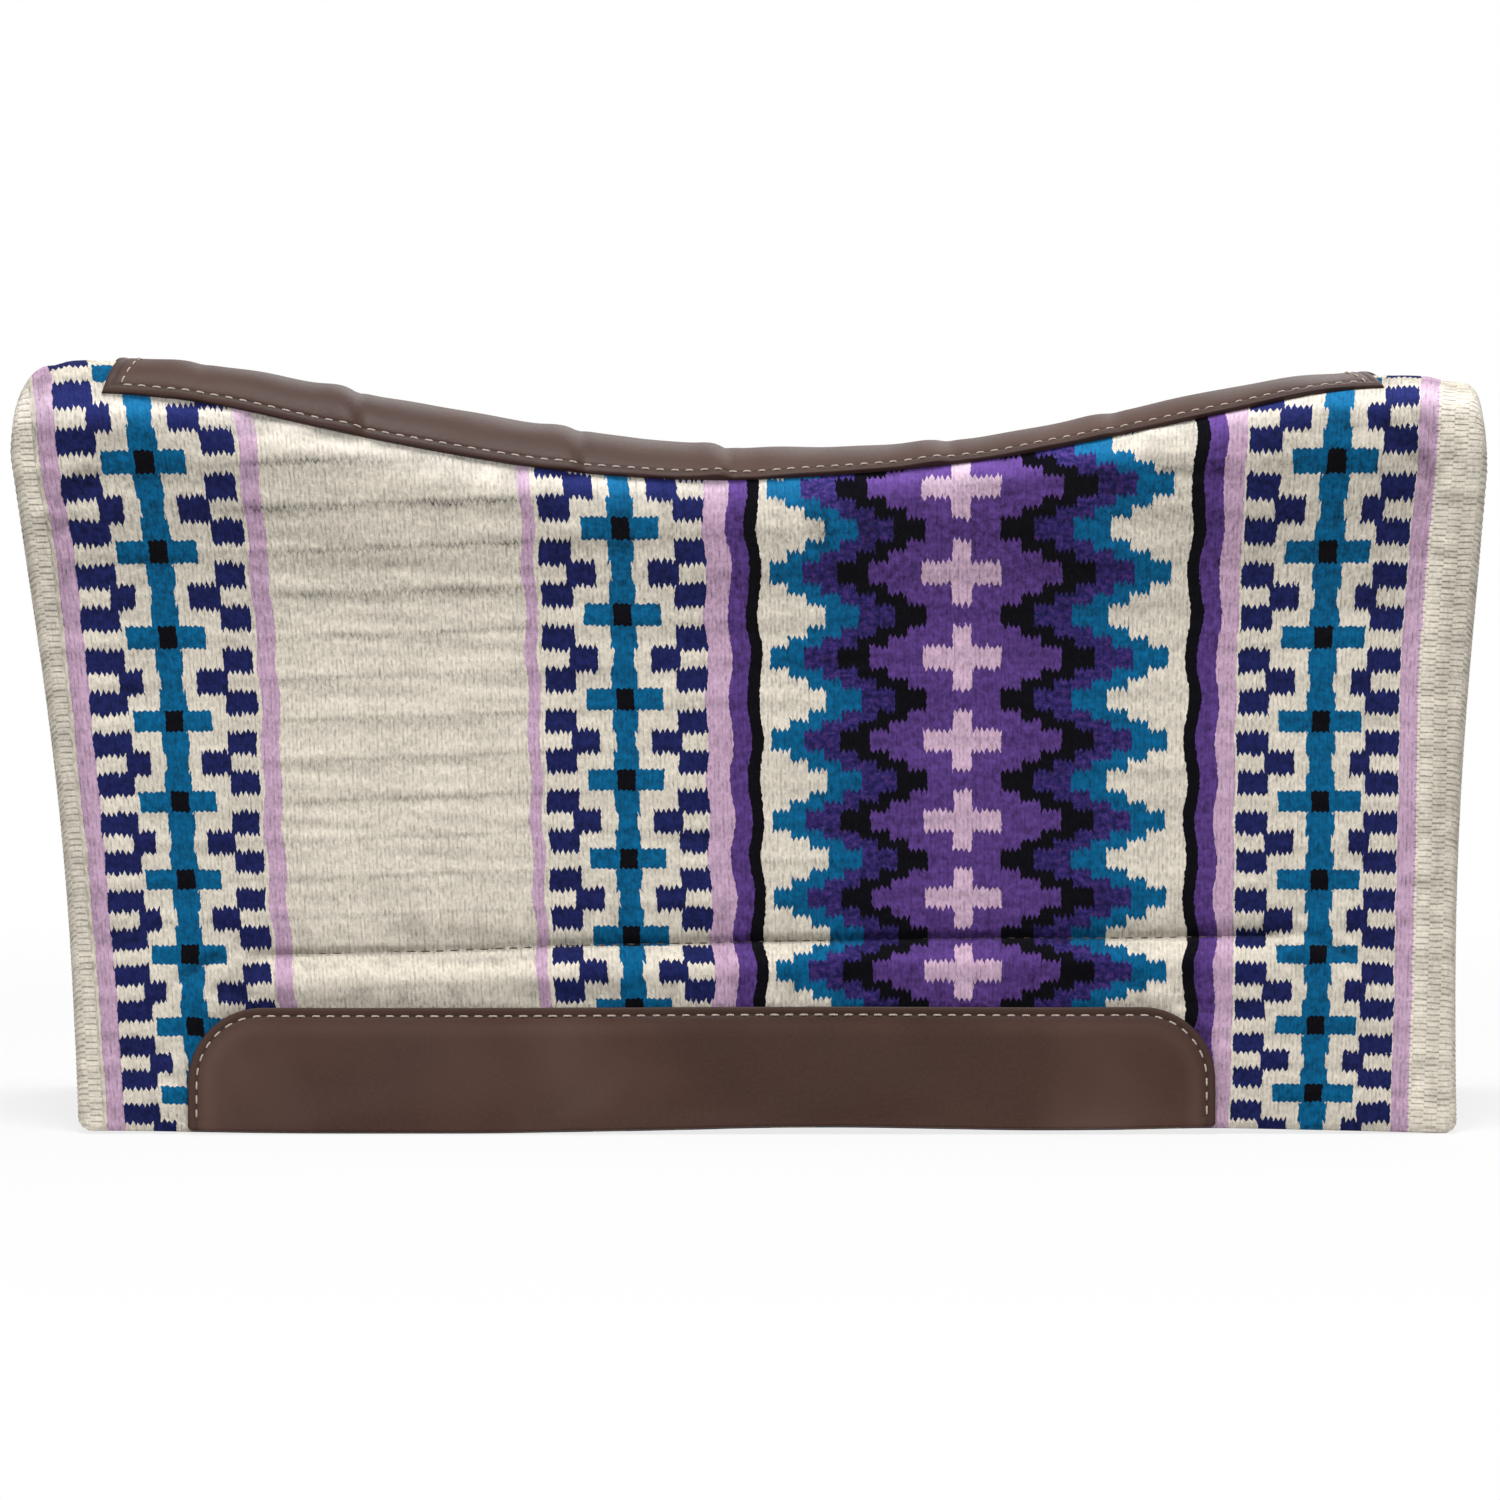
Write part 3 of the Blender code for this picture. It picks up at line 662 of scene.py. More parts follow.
cover = {
    "columns": 226, "sideRows": 226, "crownRows": 48, "footRound": 0.005, "edgeRound": 0.008,
    "seamFrontX": -0.303, "seamRearX": 0.328, "seamFrontHeight": 0.102, "seamRearHeight": 0.114,
    "seamFade": 0.030, "channelDepth": 0.0021, "channelWidth": 0.0024, "drawnIn": 0.0022, "drawnReach": 0.009,
    "rollRise": 0.0046, "rollDrop": 0.0160, "rollWidth": 0.0105,
    # painted highlight on the roll, and painted shade on the cloth above the channel: amount, how far above,
    # and width
    "rollPale": 0.7, "seamDark": (0.8, 0.005, 0.006),
    # where each pinch lies, how far from the channel's line, and its slant; depth, length and width of one
    "pinches": ((-0.318, -0.006, 0.55), (-0.305, -0.021, -0.25), (0.334, -0.004, -0.5)),
    "pinch": (0.0020, 0.017, 0.0040), "pinchRoll": (0.0018, 0.021, 0.007), "pinchDrop": 0.011,
    # how far round the leathers the cloth is pressed flat, and how high up the foot is held flat
    "wearPress": 0.010, "stripPress": 0.008, "endPress": 0.019, "footHeld": 0.018,
    # rows that swell, most of all on the plain cloth between the first two bands
    "rowDrawn": 0.00115, "rowReach": 0.0075, "rowLength": 0.0488, "rowTilt": 0.033, "rowX": -0.21,
    "rowStart": 0.45, "plain": (-0.300, -0.120, 0.03), "spineSeam": (0.0010, 0.0022),
    # lengths, stretch and amount of its waves: small ones, large ones, and where the rows swell more
    "ripple": ((0.024, 0.016, 0.0115), 9.0, 0.00042), "billow": ((0.085, 0.055), 1.6, 0.00070),
    "patches": ((0.07, 0.11), 1.0, 1.0),
    # where the ribs of both ends start and how softly, and the height of a row of figures at the foot
    "ribs": (-0.412, 0.404, 0.004), "ribHeight": 0.00022, "footRow": 0.048,
}


def seamSlope(x):
    along = np.clip((x - cover["seamFrontX"]) / (cover["seamRearX"] - cover["seamFrontX"]), 0, 1)
    dip = 0.0025 * np.sin(np.pi * along) ** 2
    return (mixed(cover["seamFrontHeight"], cover["seamRearHeight"], along) + dip) / math.cos(sideTilt)


def seamStrength(x):
    return (eased((x - cover["seamFrontX"]) / cover["seamFade"])
            * eased((cover["seamRearX"] - x) / cover["seamFade"]))


def wearInset(x, height):
    # how far inside the wear leather's outline a point of the side lies, below 0 outside
    radius = wear["corner"]
    fromEnd = np.minimum(x - wear["frontX"], wear["rearX"] - x)
    fromTop = wear["height"] - height
    straight = np.minimum(fromEnd, fromTop)
    round_ = radius - np.hypot(np.clip(radius - fromEnd, 0, None), np.clip(radius - fromTop, 0, None))
    return np.where((fromEnd < radius) & (fromTop < radius), round_, straight)


def coverRelief(x, slope, side):
    # how far the woven face stands off its plain form
    up = slope - seamSlope(x)
    strength = seamStrength(x)
    channel = -cover["channelDepth"] * bell(up, cover["channelWidth"])
    above = -cover["drawnIn"] * np.exp(-np.clip(up, 0, None) / cover["drawnReach"])
    above = above * eased((up + 0.003) / 0.004)
    roll = cover["rollRise"] * bell(up + cover["rollDrop"], cover["rollWidth"])
    relief = strength * (channel + above + roll)
    # short pinches where the channel starts and ends
    for pinchX, pinchUp, lean in cover["pinches"]:
        along = x - pinchX
        line = slope - (seamSlope(np.asarray(pinchX)) + pinchUp) - lean * along
        depth, length, width = cover["pinch"]
        relief = relief - depth * bell(along, length) * bell(line, width)
        depth, length, width = cover["pinchRoll"]
        relief = relief + depth * bell(along, length) * bell(line + cover["pinchDrop"], width)
    across, _, row = clothCoordinates(x, slope)
    plainFront, plainRear, fade = cover["plain"]
    plain = eased((across - plainFront) / fade) * eased((plainRear - across) / fade)
    ripple = waves(3 + side, x, slope, *cover["ripple"])
    relief = relief + ripple * mixed(0.5, 1.0, plain)
    # each row of the weave swells just above a line where it is drawn in
    half = cover["rowLength"] / 2
    tilt = cover["rowTilt"] * (across - cover["rowX"]) / cover["rowLength"]
    fromLine = np.mod(-2 * (row - cover["rowStart"] + tilt), 1) * half
    swell = cover["rowDrawn"] * np.exp(-fromLine / cover["rowReach"]) * eased(fromLine / 0.0026)
    patch = 0.7 + 0.45 * waves(17 + side, slope, x, *cover["patches"])
    relief = relief + swell * np.clip(patch, 0.1, 1.3) * mixed(0.45, 1.0, plain)
    relief = relief + waves(11 + side, x, slope, *cover["billow"])
    # flat under the leathers, which press the cloth in at their edges
    inWear = wearInset(x, slope * math.cos(sideTilt))
    free = 1 - eased((inWear + cover["wearPress"]) / cover["wearPress"])
    fromSpine = topSlope(x) - slope
    reach, beyond = cover["stripPress"], cover["endPress"]
    underStrip = eased((stripHalf(x) + reach - fromSpine) / reach)
    underStrip = underStrip * (eased((x - strip["frontX"] + beyond) / reach)
                               * eased((strip["rearX"] + beyond - x) / reach))
    relief = relief * free * (1 - underStrip) - 0.0002 * (underStrip + (1 - free))
    depth, width = cover["spineSeam"]
    relief = relief - depth * bell(fromSpine, width)
    # the foot stays on the ground
    return relief * eased(slope / cover["footHeld"])


puff = {
    "step": 0.0085, "frames": 18, "cap": 0.0030, "seams": 0.0055, "edges": 0.009, "endInset": 0.004,
    "cloth": {"quality": 6, "mass": 0.25, "tension_stiffness": 22.0, "compression_stiffness": 22.0,
              "shear_stiffness": 22.0, "bending_stiffness": 0.6, "vertex_group_mass": "sewn",
              "use_pressure": True, "uniform_pressure_force": 3.2, "shrink_min": -0.006},
}


def puffedCloth(side):
    # a coarse copy of the woven face, held along its sewn lines and filled from behind;
    # gives how far each of its points swells, over its own columns and rows
    columns = round(form["length"] / puff["step"]) + 1
    along = np.linspace(0, 1, columns)
    reach = foldSlope + 0.075  # a little past the spine
    slopes = np.linspace(0, reach, round(reach / puff["step"]) + 1)
    front = edgeX(slopes * math.cos(sideTilt), -1) + puff["endInset"]
    rear = edgeX(slopes * math.cos(sideTilt), 1) - puff["endInset"]
    x = mixed(front[:, None], rear[:, None], along[None, :])
    slope = np.minimum(slopes[:, None] + 0 * x, topSlope(x))
    start = placed(x, slope, 0, side)
    rows, columns = x.shape
    data = bpy.data.meshes.new("swelling cloth")
    faces = [(r * columns + c, r * columns + c + 1, (r + 1) * columns + c + 1, (r + 1) * columns + c)
             for r in range(rows - 1) for c in range(columns - 1)]
    if side > 0:
        faces = [face[::-1] for face in faces]
    data.from_pydata([tuple(p) for p in start.reshape(-1, 3)], [], faces)
    data.update()
    cloth = hung("swelling cloth", data)
    nearEdge = np.minimum(x - front[:, None], rear[:, None] - x) < puff["edges"]
    nearSeam = (np.abs(slope - seamSlope(x)) < puff["seams"]) & (seamStrength(x) > 0.2)
    underLeather = wearInset(x, slope * math.cos(sideTilt)) > -0.004
    underStrip = topSlope(x) - slope < stripHalf(x) + 0.003
    held = nearEdge | nearSeam | underLeather | underStrip | (slope < 0.012)
    group = cloth.vertex_groups.new(name="sewn")
    group.add([int(i) for i in np.flatnonzero(held.ravel())], 1.0, "REPLACE")
    modifier = cloth.modifiers.new("swell", "CLOTH")
    for name, value in puff["cloth"].items():
        setattr(modifier.settings, name, value)
    modifier.settings.effector_weights.gravity = 0
    modifier.collision_settings.use_collision = False
    modifier.point_cache.frame_start, modifier.point_cache.frame_end = 1, puff["frames"]
    for number in range(1, puff["frames"] + 1):
        bpy.context.scene.frame_set(number)
    shaped = cloth.evaluated_get(bpy.context.evaluated_depsgraph_get())
    moved = np.empty(rows * columns * 3)
    shaped.data.vertices.foreach_get("co", moved)
    bpy.data.objects.remove(cloth)
    bpy.data.meshes.remove(data)
    bpy.context.scene.frame_set(1)
    out = placed(x, slope, 0, side, 0.001) - start
    out = out / np.linalg.norm(out, axis=-1, keepdims=True)
    swell = ((moved.reshape(start.shape) - start) * out).sum(axis=-1)
    most, least = (round(float(reach) * 1000, 2) for reach in (swell.max(), swell.min()))
    print("cloth swelled by", most, "to", least, "mm")
    return slopes, along, puff["cap"] * np.tanh(swell / puff["cap"])


def swellingAt(x, slope, front, rear, swelled):
    # the coarse swelling read at the fine grid's points
    slopes, along, swell = swelled
    atRow = np.clip(slope / (slopes[1] - slopes[0]), 0, len(slopes) - 1.001)
    inset = puff["endInset"]
    atColumn = np.clip((x - front - inset) / (rear - front - 2 * inset), 0, 1) * (len(along) - 1.001)
    r, c = atRow.astype(int), atColumn.astype(int)
    up, on = eased(atRow - r) * 0.5 + (atRow - r) * 0.5, atColumn - c
    return mixed(mixed(swell[r, c], swell[r, c + 1], on), mixed(swell[r + 1, c], swell[r + 1, c + 1], on), up)


def hollowAt(relief):
    # above 0 where the face lies lower than the cloth around it, below 0 on its ridges
    around = relief.copy()
    for _ in range(14):
        around[1:-1] = (around[:-2] + 2 * around[1:-1] + around[2:]) / 4
        around[:, 1:-1] = (around[:, :-2] + 2 * around[:, 1:-1] + around[:, 2:]) / 4
    return np.clip((around - relief) / 0.0006, -0.6, 1)


def coverGrid():
    # rows, as (kind, value, depth), from the inside of the foot up to the spine, and columns of the turned
    # edges, as (way in, depth)
    def rounded(radius):
        turns = [math.pi / 2 * i / 5 for i in range(6)]
        return [(radius * (1 - math.cos(turn)), radius * (1 - math.sin(turn))) for turn in turns]

    foot = [(0.0008, 0.0254), (0.0, 0.0246), (0.0, 0.020), (0.0, 0.0145), (0.0, 0.0095)]
    rows = [(0, slope, depth) for slope, depth in foot + rounded(cover["footRound"])]
    rows += [(0, s, 0.0) for s in np.linspace(cover["footRound"], foldSlope, cover["sideRows"])[1:]]
    rows += [(1, s, 0.0) for s in np.linspace(0, 1, cover["crownRows"])[1:]]
    edge = [(0.0008, 0.0254), (0.0, 0.0246), (-0.0004, 0.0205), (-0.0006, 0.016), (-0.0004, 0.0115)]
    return np.array(rows), edge + rounded(cover["edgeRound"])


def woolCover(side, prefix, material):
    rows, turned = coverGrid()
    kind, value, rowDepth = rows.T
    front, rear = rowEdges(kind, value)
    inset = cover["edgeRound"]
    shares = np.linspace(0, 1, cover["columns"])[1:-1]
    x = np.concatenate([
        np.stack([front + off for off, _ in turned], axis=1),
        mixed((front + inset)[:, None], (rear - inset)[:, None], shares[None, :]),
        np.stack([rear - off for off, _ in reversed(turned)], axis=1),
    ], axis=1)
    columnDepth = np.array([d for _, d in turned] + [0] * len(shares) + [d for _, d in reversed(turned)])
    slope = rowSlope(kind, value, x)
    depth = np.maximum(columnDepth[None, :], rowDepth[:, None])
    relief = coverRelief(x, slope, side)
    swelling = swellingAt(x, slope, front[:, None], rear[:, None], puffedCloth(side))
    relief = relief + swelling * eased(slope / cover["footHeld"])
    # painted shade in the hollows of the relief and painted highlight on its ridges; painted highlight on the
    # roll below the channel, painted shade just above it
    up = slope - seamSlope(x)
    hollow = hollowAt(relief)
    pale, (dark, darkUp, darkWidth) = cover["rollPale"], cover["seamDark"]
    hollow = hollow - pale * seamStrength(x) * bell(up + cover["rollDrop"], cover["rollWidth"])
    hollow = hollow + dark * seamStrength(x) * bell(up - darkUp, darkWidth)
    flat = 1 - eased(depth / 0.006)
    # ribs of the edges: every other row stands proud
    across, figured, row = clothCoordinates(x, slope)
    ribFront, ribRear, fade = cover["ribs"]
    margin = np.maximum(eased((across - ribRear) / fade), eased((ribFront - across) / fade))
    ribs = margin * np.where(np.arange(len(kind)) % 2 == 0, 1, -1)[:, None] * cover["ribHeight"]
    lift = relief * flat + ribs * np.where(slope > 0.006, 1, 0)
    outward = np.where(np.arange(x.shape[1]) < x.shape[1] / 2, -1, 1)[None, :]
    edgeRib = ribs * (1 - flat) * 1.2
    outer = placed(x + outward * edgeRib, slope, depth, side, lift)
    wool = form["wool"]
    columnOff = np.array([o for o, _ in turned])
    innerOff = np.maximum(columnOff, wool)
    innerX = x.copy()
    count = len(turned)
    innerX[:, :count] = front[:, None] + innerOff[None, :]
    innerX[:, -count:] = rear[:, None] - innerOff[::-1][None, :]
    innerSlope = np.maximum(slope, wool)
    innerDepth = np.maximum(depth, wool)
    inner = placed(innerX, innerSlope, innerDepth, side)
    turnedOut = np.where(columnDepth > inset - 1e-9, columnDepth - inset, 0)[None, :] * outward
    footOut = -np.maximum(rowDepth - cover["footRound"], 0)[:, None]
    figureUv = np.stack([figured + turnedOut, row - footOut / cover["footRow"]], axis=-1)
    yarnUv = np.stack([across + turnedOut, slope + footOut], axis=-1)
    hollowUv = np.stack([hollow * flat, topSlope(x) - slope - stripHalf(x)], axis=-1)
    turns = (3, 7, 10)
    fixed = (turns, (*turns, *(x.shape[1] - 1 - turn for turn in turns)))
    piece = backedPiece(prefix + "woven_cover", outer, inner, (9, 10),
                        {"figure": figureUv, "yarn": yarnUv, "hollow": hollowUv}, material, 60, fixed)
    joinFold(piece)
    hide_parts(prefix + "wool_cover_crown", prefix + "wool_cover")
    return piece


def joinFold(piece):
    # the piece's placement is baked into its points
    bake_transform(piece)


def layerGrid(layer):
    # x and slope of a hidden layer's points, on even rows from its foot up to the spine
    inset, foot, step = layer["inset"], layer["foot"], layer["step"]
    sideRows, crownRows = round((foldSlope - foot) / step), round(form["crownLength"] / step)
    rows = [(0, s) for s in np.linspace(foot, foldSlope, sideRows + 1)]
    rows += [(1, s) for s in np.linspace(0, 1, crownRows + 1)[1:]]
    kind, value = np.array(rows).T
    front, rear = rowEdges(kind, value)
    shares = np.linspace(0, 1, round(form["length"] / step) + 1)
    x = mixed((front + inset)[:, None], (rear - inset)[:, None], shares[None, :])
    return x, rowSlope(kind, value, x)


def borderDistance(x, slope):
    fromFront, fromRear = x - x[:, :1], x[:, -1:] - x
    fromFoot, fromTop = slope - slope[:1, :], slope[-1:, :] - slope
    return np.minimum(np.minimum(fromFront, fromRear), np.minimum(fromFoot, fromTop))


# the pile's tufts lie on top of waves of these lengths; it gets thinner towards its rounded rim
fleece = {"inset": 0.0064, "foot": 0.0058, "step": 0.0032, "lump": 0.000495, "round": 0.004,
          "lengths": (0.0075, 0.0105, 0.0150, 0.021), "tuft": 0.00018, "thinned": 0.0026,
          "seenAir": 0.0004, "hiddenAir": 0.0002}


def fleeceLining(side, prefix, material):
    x, slope = layerGrid(fleece)
    border = borderDistance(x, slope)
    rim = 1 - np.sqrt(np.clip(1 - (1 - np.clip(border / fleece["round"], 0, 1)) ** 2, 0, 1))
    rng = np.random.default_rng(40 + side)
    lumps = np.zeros(x.shape)
    for size in fleece["lengths"]:
        for _ in range(5):
            angle, phase = rng.uniform(0, np.pi), rng.uniform(0, 2 * np.pi, 2)
            u = (x * math.cos(angle) + slope * math.sin(angle)) / size * 2 * np.pi + phase[0]
            v = (slope * math.cos(angle) - x * math.sin(angle)) / size * 2 * np.pi + phase[1]
            lumps = lumps + np.sin(u) * np.sin(v)
    lumps = lumps / lumps.std() * fleece["lump"] + rng.normal(0, fleece["tuft"], x.shape)
    depthTop, depthBottom = form["fleece"]
    depth = depthBottom - rim * fleece["thinned"] + lumps * (1 - rim) - fleece["seenAir"]
    seen = placed(x, slope, depth, side)
    hidden = placed(x, slope, depthTop + fleece["hiddenAir"], side)
    piece = backedPiece(prefix + "lining", seen, hidden, (9, 10), {"pile": np.stack([x, slope], axis=-1)},
                        material, 70)
    joinFold(piece)
    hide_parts(prefix + "fleece_lining_crown", prefix + "fleece_lining")
    return piece


def fleeceMaterial():
    d = Dyer("fleece pile")
    pile = d.uv("pile")
    curls = d.node("TexVoronoi", {"Vector": pile, "Scale": 260.0})
    tufts = d.noise(pile, 240.0, 4.0, 0.65, 0.6)
    broad = d.noise(pile, 22.0, 3.0)
    colour = d.coated(linear(236, 230, 214),
                      (d.range(tufts * 0.6 + curls * 0.5, 0.35, 0.85), linear(204, 194, 171)),
                      (d.range(broad, 0.35, 0.7, 0.0, 0.35), linear(216, 206, 184)))
    normal = d.bump((1.0 - curls) * 0.8 + tufts * 0.9, 0.0013, 0.9)
    return d.finish(colour, 0.95, normal, **{"Specular IOR Level": 0.1, "Sheen Weight": 0.3,
                                             "Sheen Roughness": 0.6})


# air to the next layer, and how much thinner the core gets along its rim
felt = {"inset": 0.0066, "foot": 0.0062, "step": 0.009, "air": 0.0004, "thinned": 0.0012, "rim": 0.010,
        "waves": ((0.05, 0.03), 1.0, 0.00022)}


def feltCore(side, prefix, material):
    x, slope = layerGrid(felt)
    border = borderDistance(x, slope)
    inwards = felt["air"] + felt["thinned"] * (1 - eased(border / felt["rim"]))
    depthTop, depthBottom = form["felt"]
    fibre = waves(70 + side, x, slope, *felt["waves"])
    upper = placed(x, slope, depthTop + inwards + fibre, side)
    lower = placed(x, slope, depthBottom - inwards + fibre, side)
    piece = backedPiece(prefix + "felt", upper, lower, (1, 1), {"fibre": np.stack([x, slope], axis=-1)},
                        material, 60)
    joinFold(piece)
    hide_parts(prefix + "felt_core_crown", prefix + "felt_core")
    return piece


def feltMaterial():
    d = Dyer("grey felt")
    fibre = d.uv("fibre")
    fine = d.noise(fibre, 700.0, 5.0, 0.75, 0.8)
    broad = d.noise(fibre, 45.0, 3.0)
    colour = d.coated(linear(150, 148, 145), (d.range(fine, 0.3, 0.7), linear(196, 193, 188)),
                      (d.range(broad, 0.4, 0.7, 0, 0.4), linear(128, 126, 124)))
    return d.finish(colour, 0.96, d.bump(fine, 0.0004, 0.8), **{"Specular IOR Level": 0.1})


leather = {"gap": 0.0005, "thickness": 0.0026, "edge": 0.0009, "groove": 0.00035, "grooveWidth": 0.0011,
           "stitchInset": 0.005,
           # distances from a cut edge at which both leathers have points
           "rings": (0, 0.0001, 0.0003, 0.0006, 0.0010, 0.0018, 0.0030, 0.0040, 0.0046, 0.0050, 0.0054,
                     0.0060, 0.0072)}
strip = {"frontX": -0.368, "rearX": 0.361, "tail": 0.011, "meanHalf": 0.0355, "endInset": 0.0125,
         "lastRing": 0.009, "insideStart": 0.0115, "waves": ((0.060, 0.035), 0.8, 0.00030),
         "half": ((-0.44, 0.0330), (-0.380, 0.0322), (-0.321, 0.0343), (-0.263, 0.0392), (-0.205, 0.0418),
                  (-0.134, 0.0440), (-0.079, 0.0432), (0.008, 0.0378), (0.056, 0.0340), (0.124, 0.0305),
                  (0.204, 0.0295), (0.265, 0.0304), (0.300, 0.0292), (0.335, 0.0247), (0.367, 0.0238),
                  (0.44, 0.0232)),
         "creases": ((-0.227, 0.0012, 0.010), (-0.098, 0.0011, 0.010), (-0.012, 0.0012, 0.008),
                     (0.118, 0.0009, 0.012), (0.215, 0.0007, 0.012), (-0.318, 0.0006, 0.012))}
wear = {"frontX": -0.327, "rearX": 0.272, "height": 0.071, "corner": 0.043,
        "foot": 0.0006, "footCorner": 0.003,
        # points up a side, round a top corner, round a foot corner and along the top
        "counts": (9, 22, 5, 168), "innerRings": (0.0095, 0.0125, 0.016, 0.020, 0.0237, 0.0272),
        # tells the shader that it is on the wear leather, and where the stitches start over the foot
        "mark": 0.05, "stitchFoot": 0.006,
        # waves, and a dent: depth, then place and reach along and upwards
        "waves": ((0.11, 0.07), 0.9, 0.00045), "dent": (0.0006, -0.205, 0.035, 0.030, 0.02)}


def stripHalf(x):
    return curve(x, strip["half"])


def overSpine(x, across, height):
    # a point over the crown: across is the arc length from the spine, height is above the cloth
    radius, tilt = crownRadius(x), wallTilt(x)
    arc = np.minimum(np.abs(across), radius * (np.pi / 2 - tilt))
    turn = np.pi / 2 - arc / radius
    straight = np.abs(across) - arc
    y = (radius + height) * np.cos(turn) + straight * np.sin(tilt)
    z = ridgeHeight(x) - radius + (radius + height) * np.sin(turn) - straight * np.cos(tilt)
    return np.stack([x, np.copysign(y, across), z], axis=-1)


def edgeProfile(distance, thickness, edge):
    # height of leather's upper face near a cut edge
    near = np.clip(1 - distance / edge, 0, 1)
    return thickness - edge * (1 - np.sqrt(np.clip(1 - near * near, 0, 1)))


def leatherHeight(distance, fromSewn):
    # cut edge, then the groove that the stitches pull down
    top = edgeProfile(distance, leather["thickness"], leather["edge"])
    top = top - leather["groove"] * bell(fromSewn - leather["stitchInset"], leather["grooveWidth"])
    return top + 0.00022 * bell(fromSewn - leather["stitchInset"] * 0.5, 0.0015)


def stripGrid():
    near = np.array([*leather["rings"], strip["lastRing"]])
    inside = strip["insideStart"]
    length, half = strip["rearX"] - strip["frontX"], strip["meanHalf"]
    along = np.concatenate([near, np.linspace(inside, length - inside, 236), length - near[::-1]])
    across = np.concatenate([near - half, np.linspace(inside - half, half - inside, 25), half - near[::-1]])
    return along / length, across / half


def stripHeight(x, across):
    # height of the strip's upper face over the cloth, and the distance from its nearest edge
    half = stripHalf(x)
    tail = strip["tail"] * np.abs(across) / half
    fromEnd = np.minimum(x - strip["frontX"] + tail, strip["rearX"] + tail - x)
    distance = np.maximum(np.minimum(fromEnd, half - np.abs(across)), 0)
    crease = 0 * distance
    for place, depth, width in strip["creases"]:
        line = x - place - 0.12 * (np.abs(across) - 0.02)
        crease = crease - depth * bell(line, width * 0.42) + depth * 1.1 * bell(line + width * 1.05, width)
        crease = crease - depth * 0.5 * bell(line - width * 0.9, width * 1.5)
    soft = waves(21, across, x, *strip["waves"])
    height = leather["gap"] + leatherHeight(distance, distance) + 0.0004
    height = height + (crease + soft) * eased(fromEnd / 0.02)
    return np.maximum(height, leather["gap"] + 0.0006), distance


def spineLeather(material):
    along, share = stripGrid()
    along, share = along[:, None], share[None, :]
    frontEnd = strip["frontX"] - strip["tail"] * np.abs(share)
    rearEnd = strip["rearX"] + strip["tail"] * np.abs(share)
    x = mixed(frontEnd, rearEnd, along)
    across = share * stripHalf(x)
    height, distance = stripHeight(x, across)
    top = overSpine(x, across, height)
    under = overSpine(x, across, np.full(x.shape, leather["gap"]))
    maps = {"hide": np.stack([x, across], axis=-1), "rubAndShade": np.stack([distance, np.abs(across)], axis=-1)}
    piece = backedPiece("spine_strip", top, under, (8, 6), maps, material, 50)
    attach(piece, "ridge")
    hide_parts("spine_leather")
    return piece


def wearRing(inset):
    # outline of the wear leather at an inset, as (x, height), all the way round
    def corner(centreX, centreZ, radius, start, count):
        turns = start - np.linspace(0, math.pi / 2, count)
        return [(centreX + radius * math.cos(t), centreZ + radius * math.sin(t)) for t in turns]

    front, rear = wear["frontX"] + inset, wear["rearX"] - inset
    top, foot = wear["height"] - inset, wear["foot"] + inset
    big, small = max(wear["corner"] - inset, 0.0005), max(wear["footCorner"] - inset, 0.00001)
    sideCount, bigCount, smallCount, longCount = wear["counts"]
    low, high = foot + small, top - big
    points = [(front, z) for z in np.linspace(low, high, sideCount)]
    points += corner(front + big, top - big, big, math.pi, bigCount)[1:]
    points += [(x, top) for x in np.linspace(front + big, rear - big, longCount)[1:]]
    points += corner(rear - big, top - big, big, math.pi / 2, bigCount)[1:]
    points += [(rear, z) for z in np.linspace(high, low, sideCount)[1:]]
    points += corner(rear - small, foot + small, small, 0, smallCount)[1:]
    points += [(x, foot) for x in np.linspace(rear - small, front + small, longCount)[1:]]
    points += corner(front + small, foot + small, small, -math.pi / 2, smallCount)[1:-1]
    return np.array(points)


def onSide(x, height, lift, side):
    # a point over the flat of a side
    return placed(x, height / math.cos(sideTilt), 0, side, lift)


def wearFaces(count, ringCount):
    # quads between the rings, the middle, the cut edge and the back
    around = [(i, (i + 1) % count) for i in range(count)]
    faces = [(r * count + i, r * count + j, (r + 1) * count + j, (r + 1) * count + i)
             for r in range(ringCount - 1) for i, j in around]
    last, back = (ringCount - 1) * count, ringCount * count
    # the middle is filled between the long upper and lower lines, and at both ends
    sideCount, bigCount, smallCount, longCount = wear["counts"]
    topStart = sideCount + bigCount - 2
    footStart = topStart + longCount - 1 + bigCount - 1 + sideCount - 1 + smallCount - 1
    for i in range(longCount - 1):
        faces.append((last + topStart + i, last + topStart + i + 1,
                      last + footStart + longCount - 2 - i, last + footStart + longCount - 1 - i))
    faces.append(tuple(last + i for i in range(topStart + longCount - 1, footStart + 1)))
    faces.append(tuple(last + i % count for i in range(footStart + longCount - 1, count + topStart + 1)))
    faces += [(i, j, back + j, back + i) for i, j in around]
    faces.append(tuple(back + i for i in range(count)))
    return faces


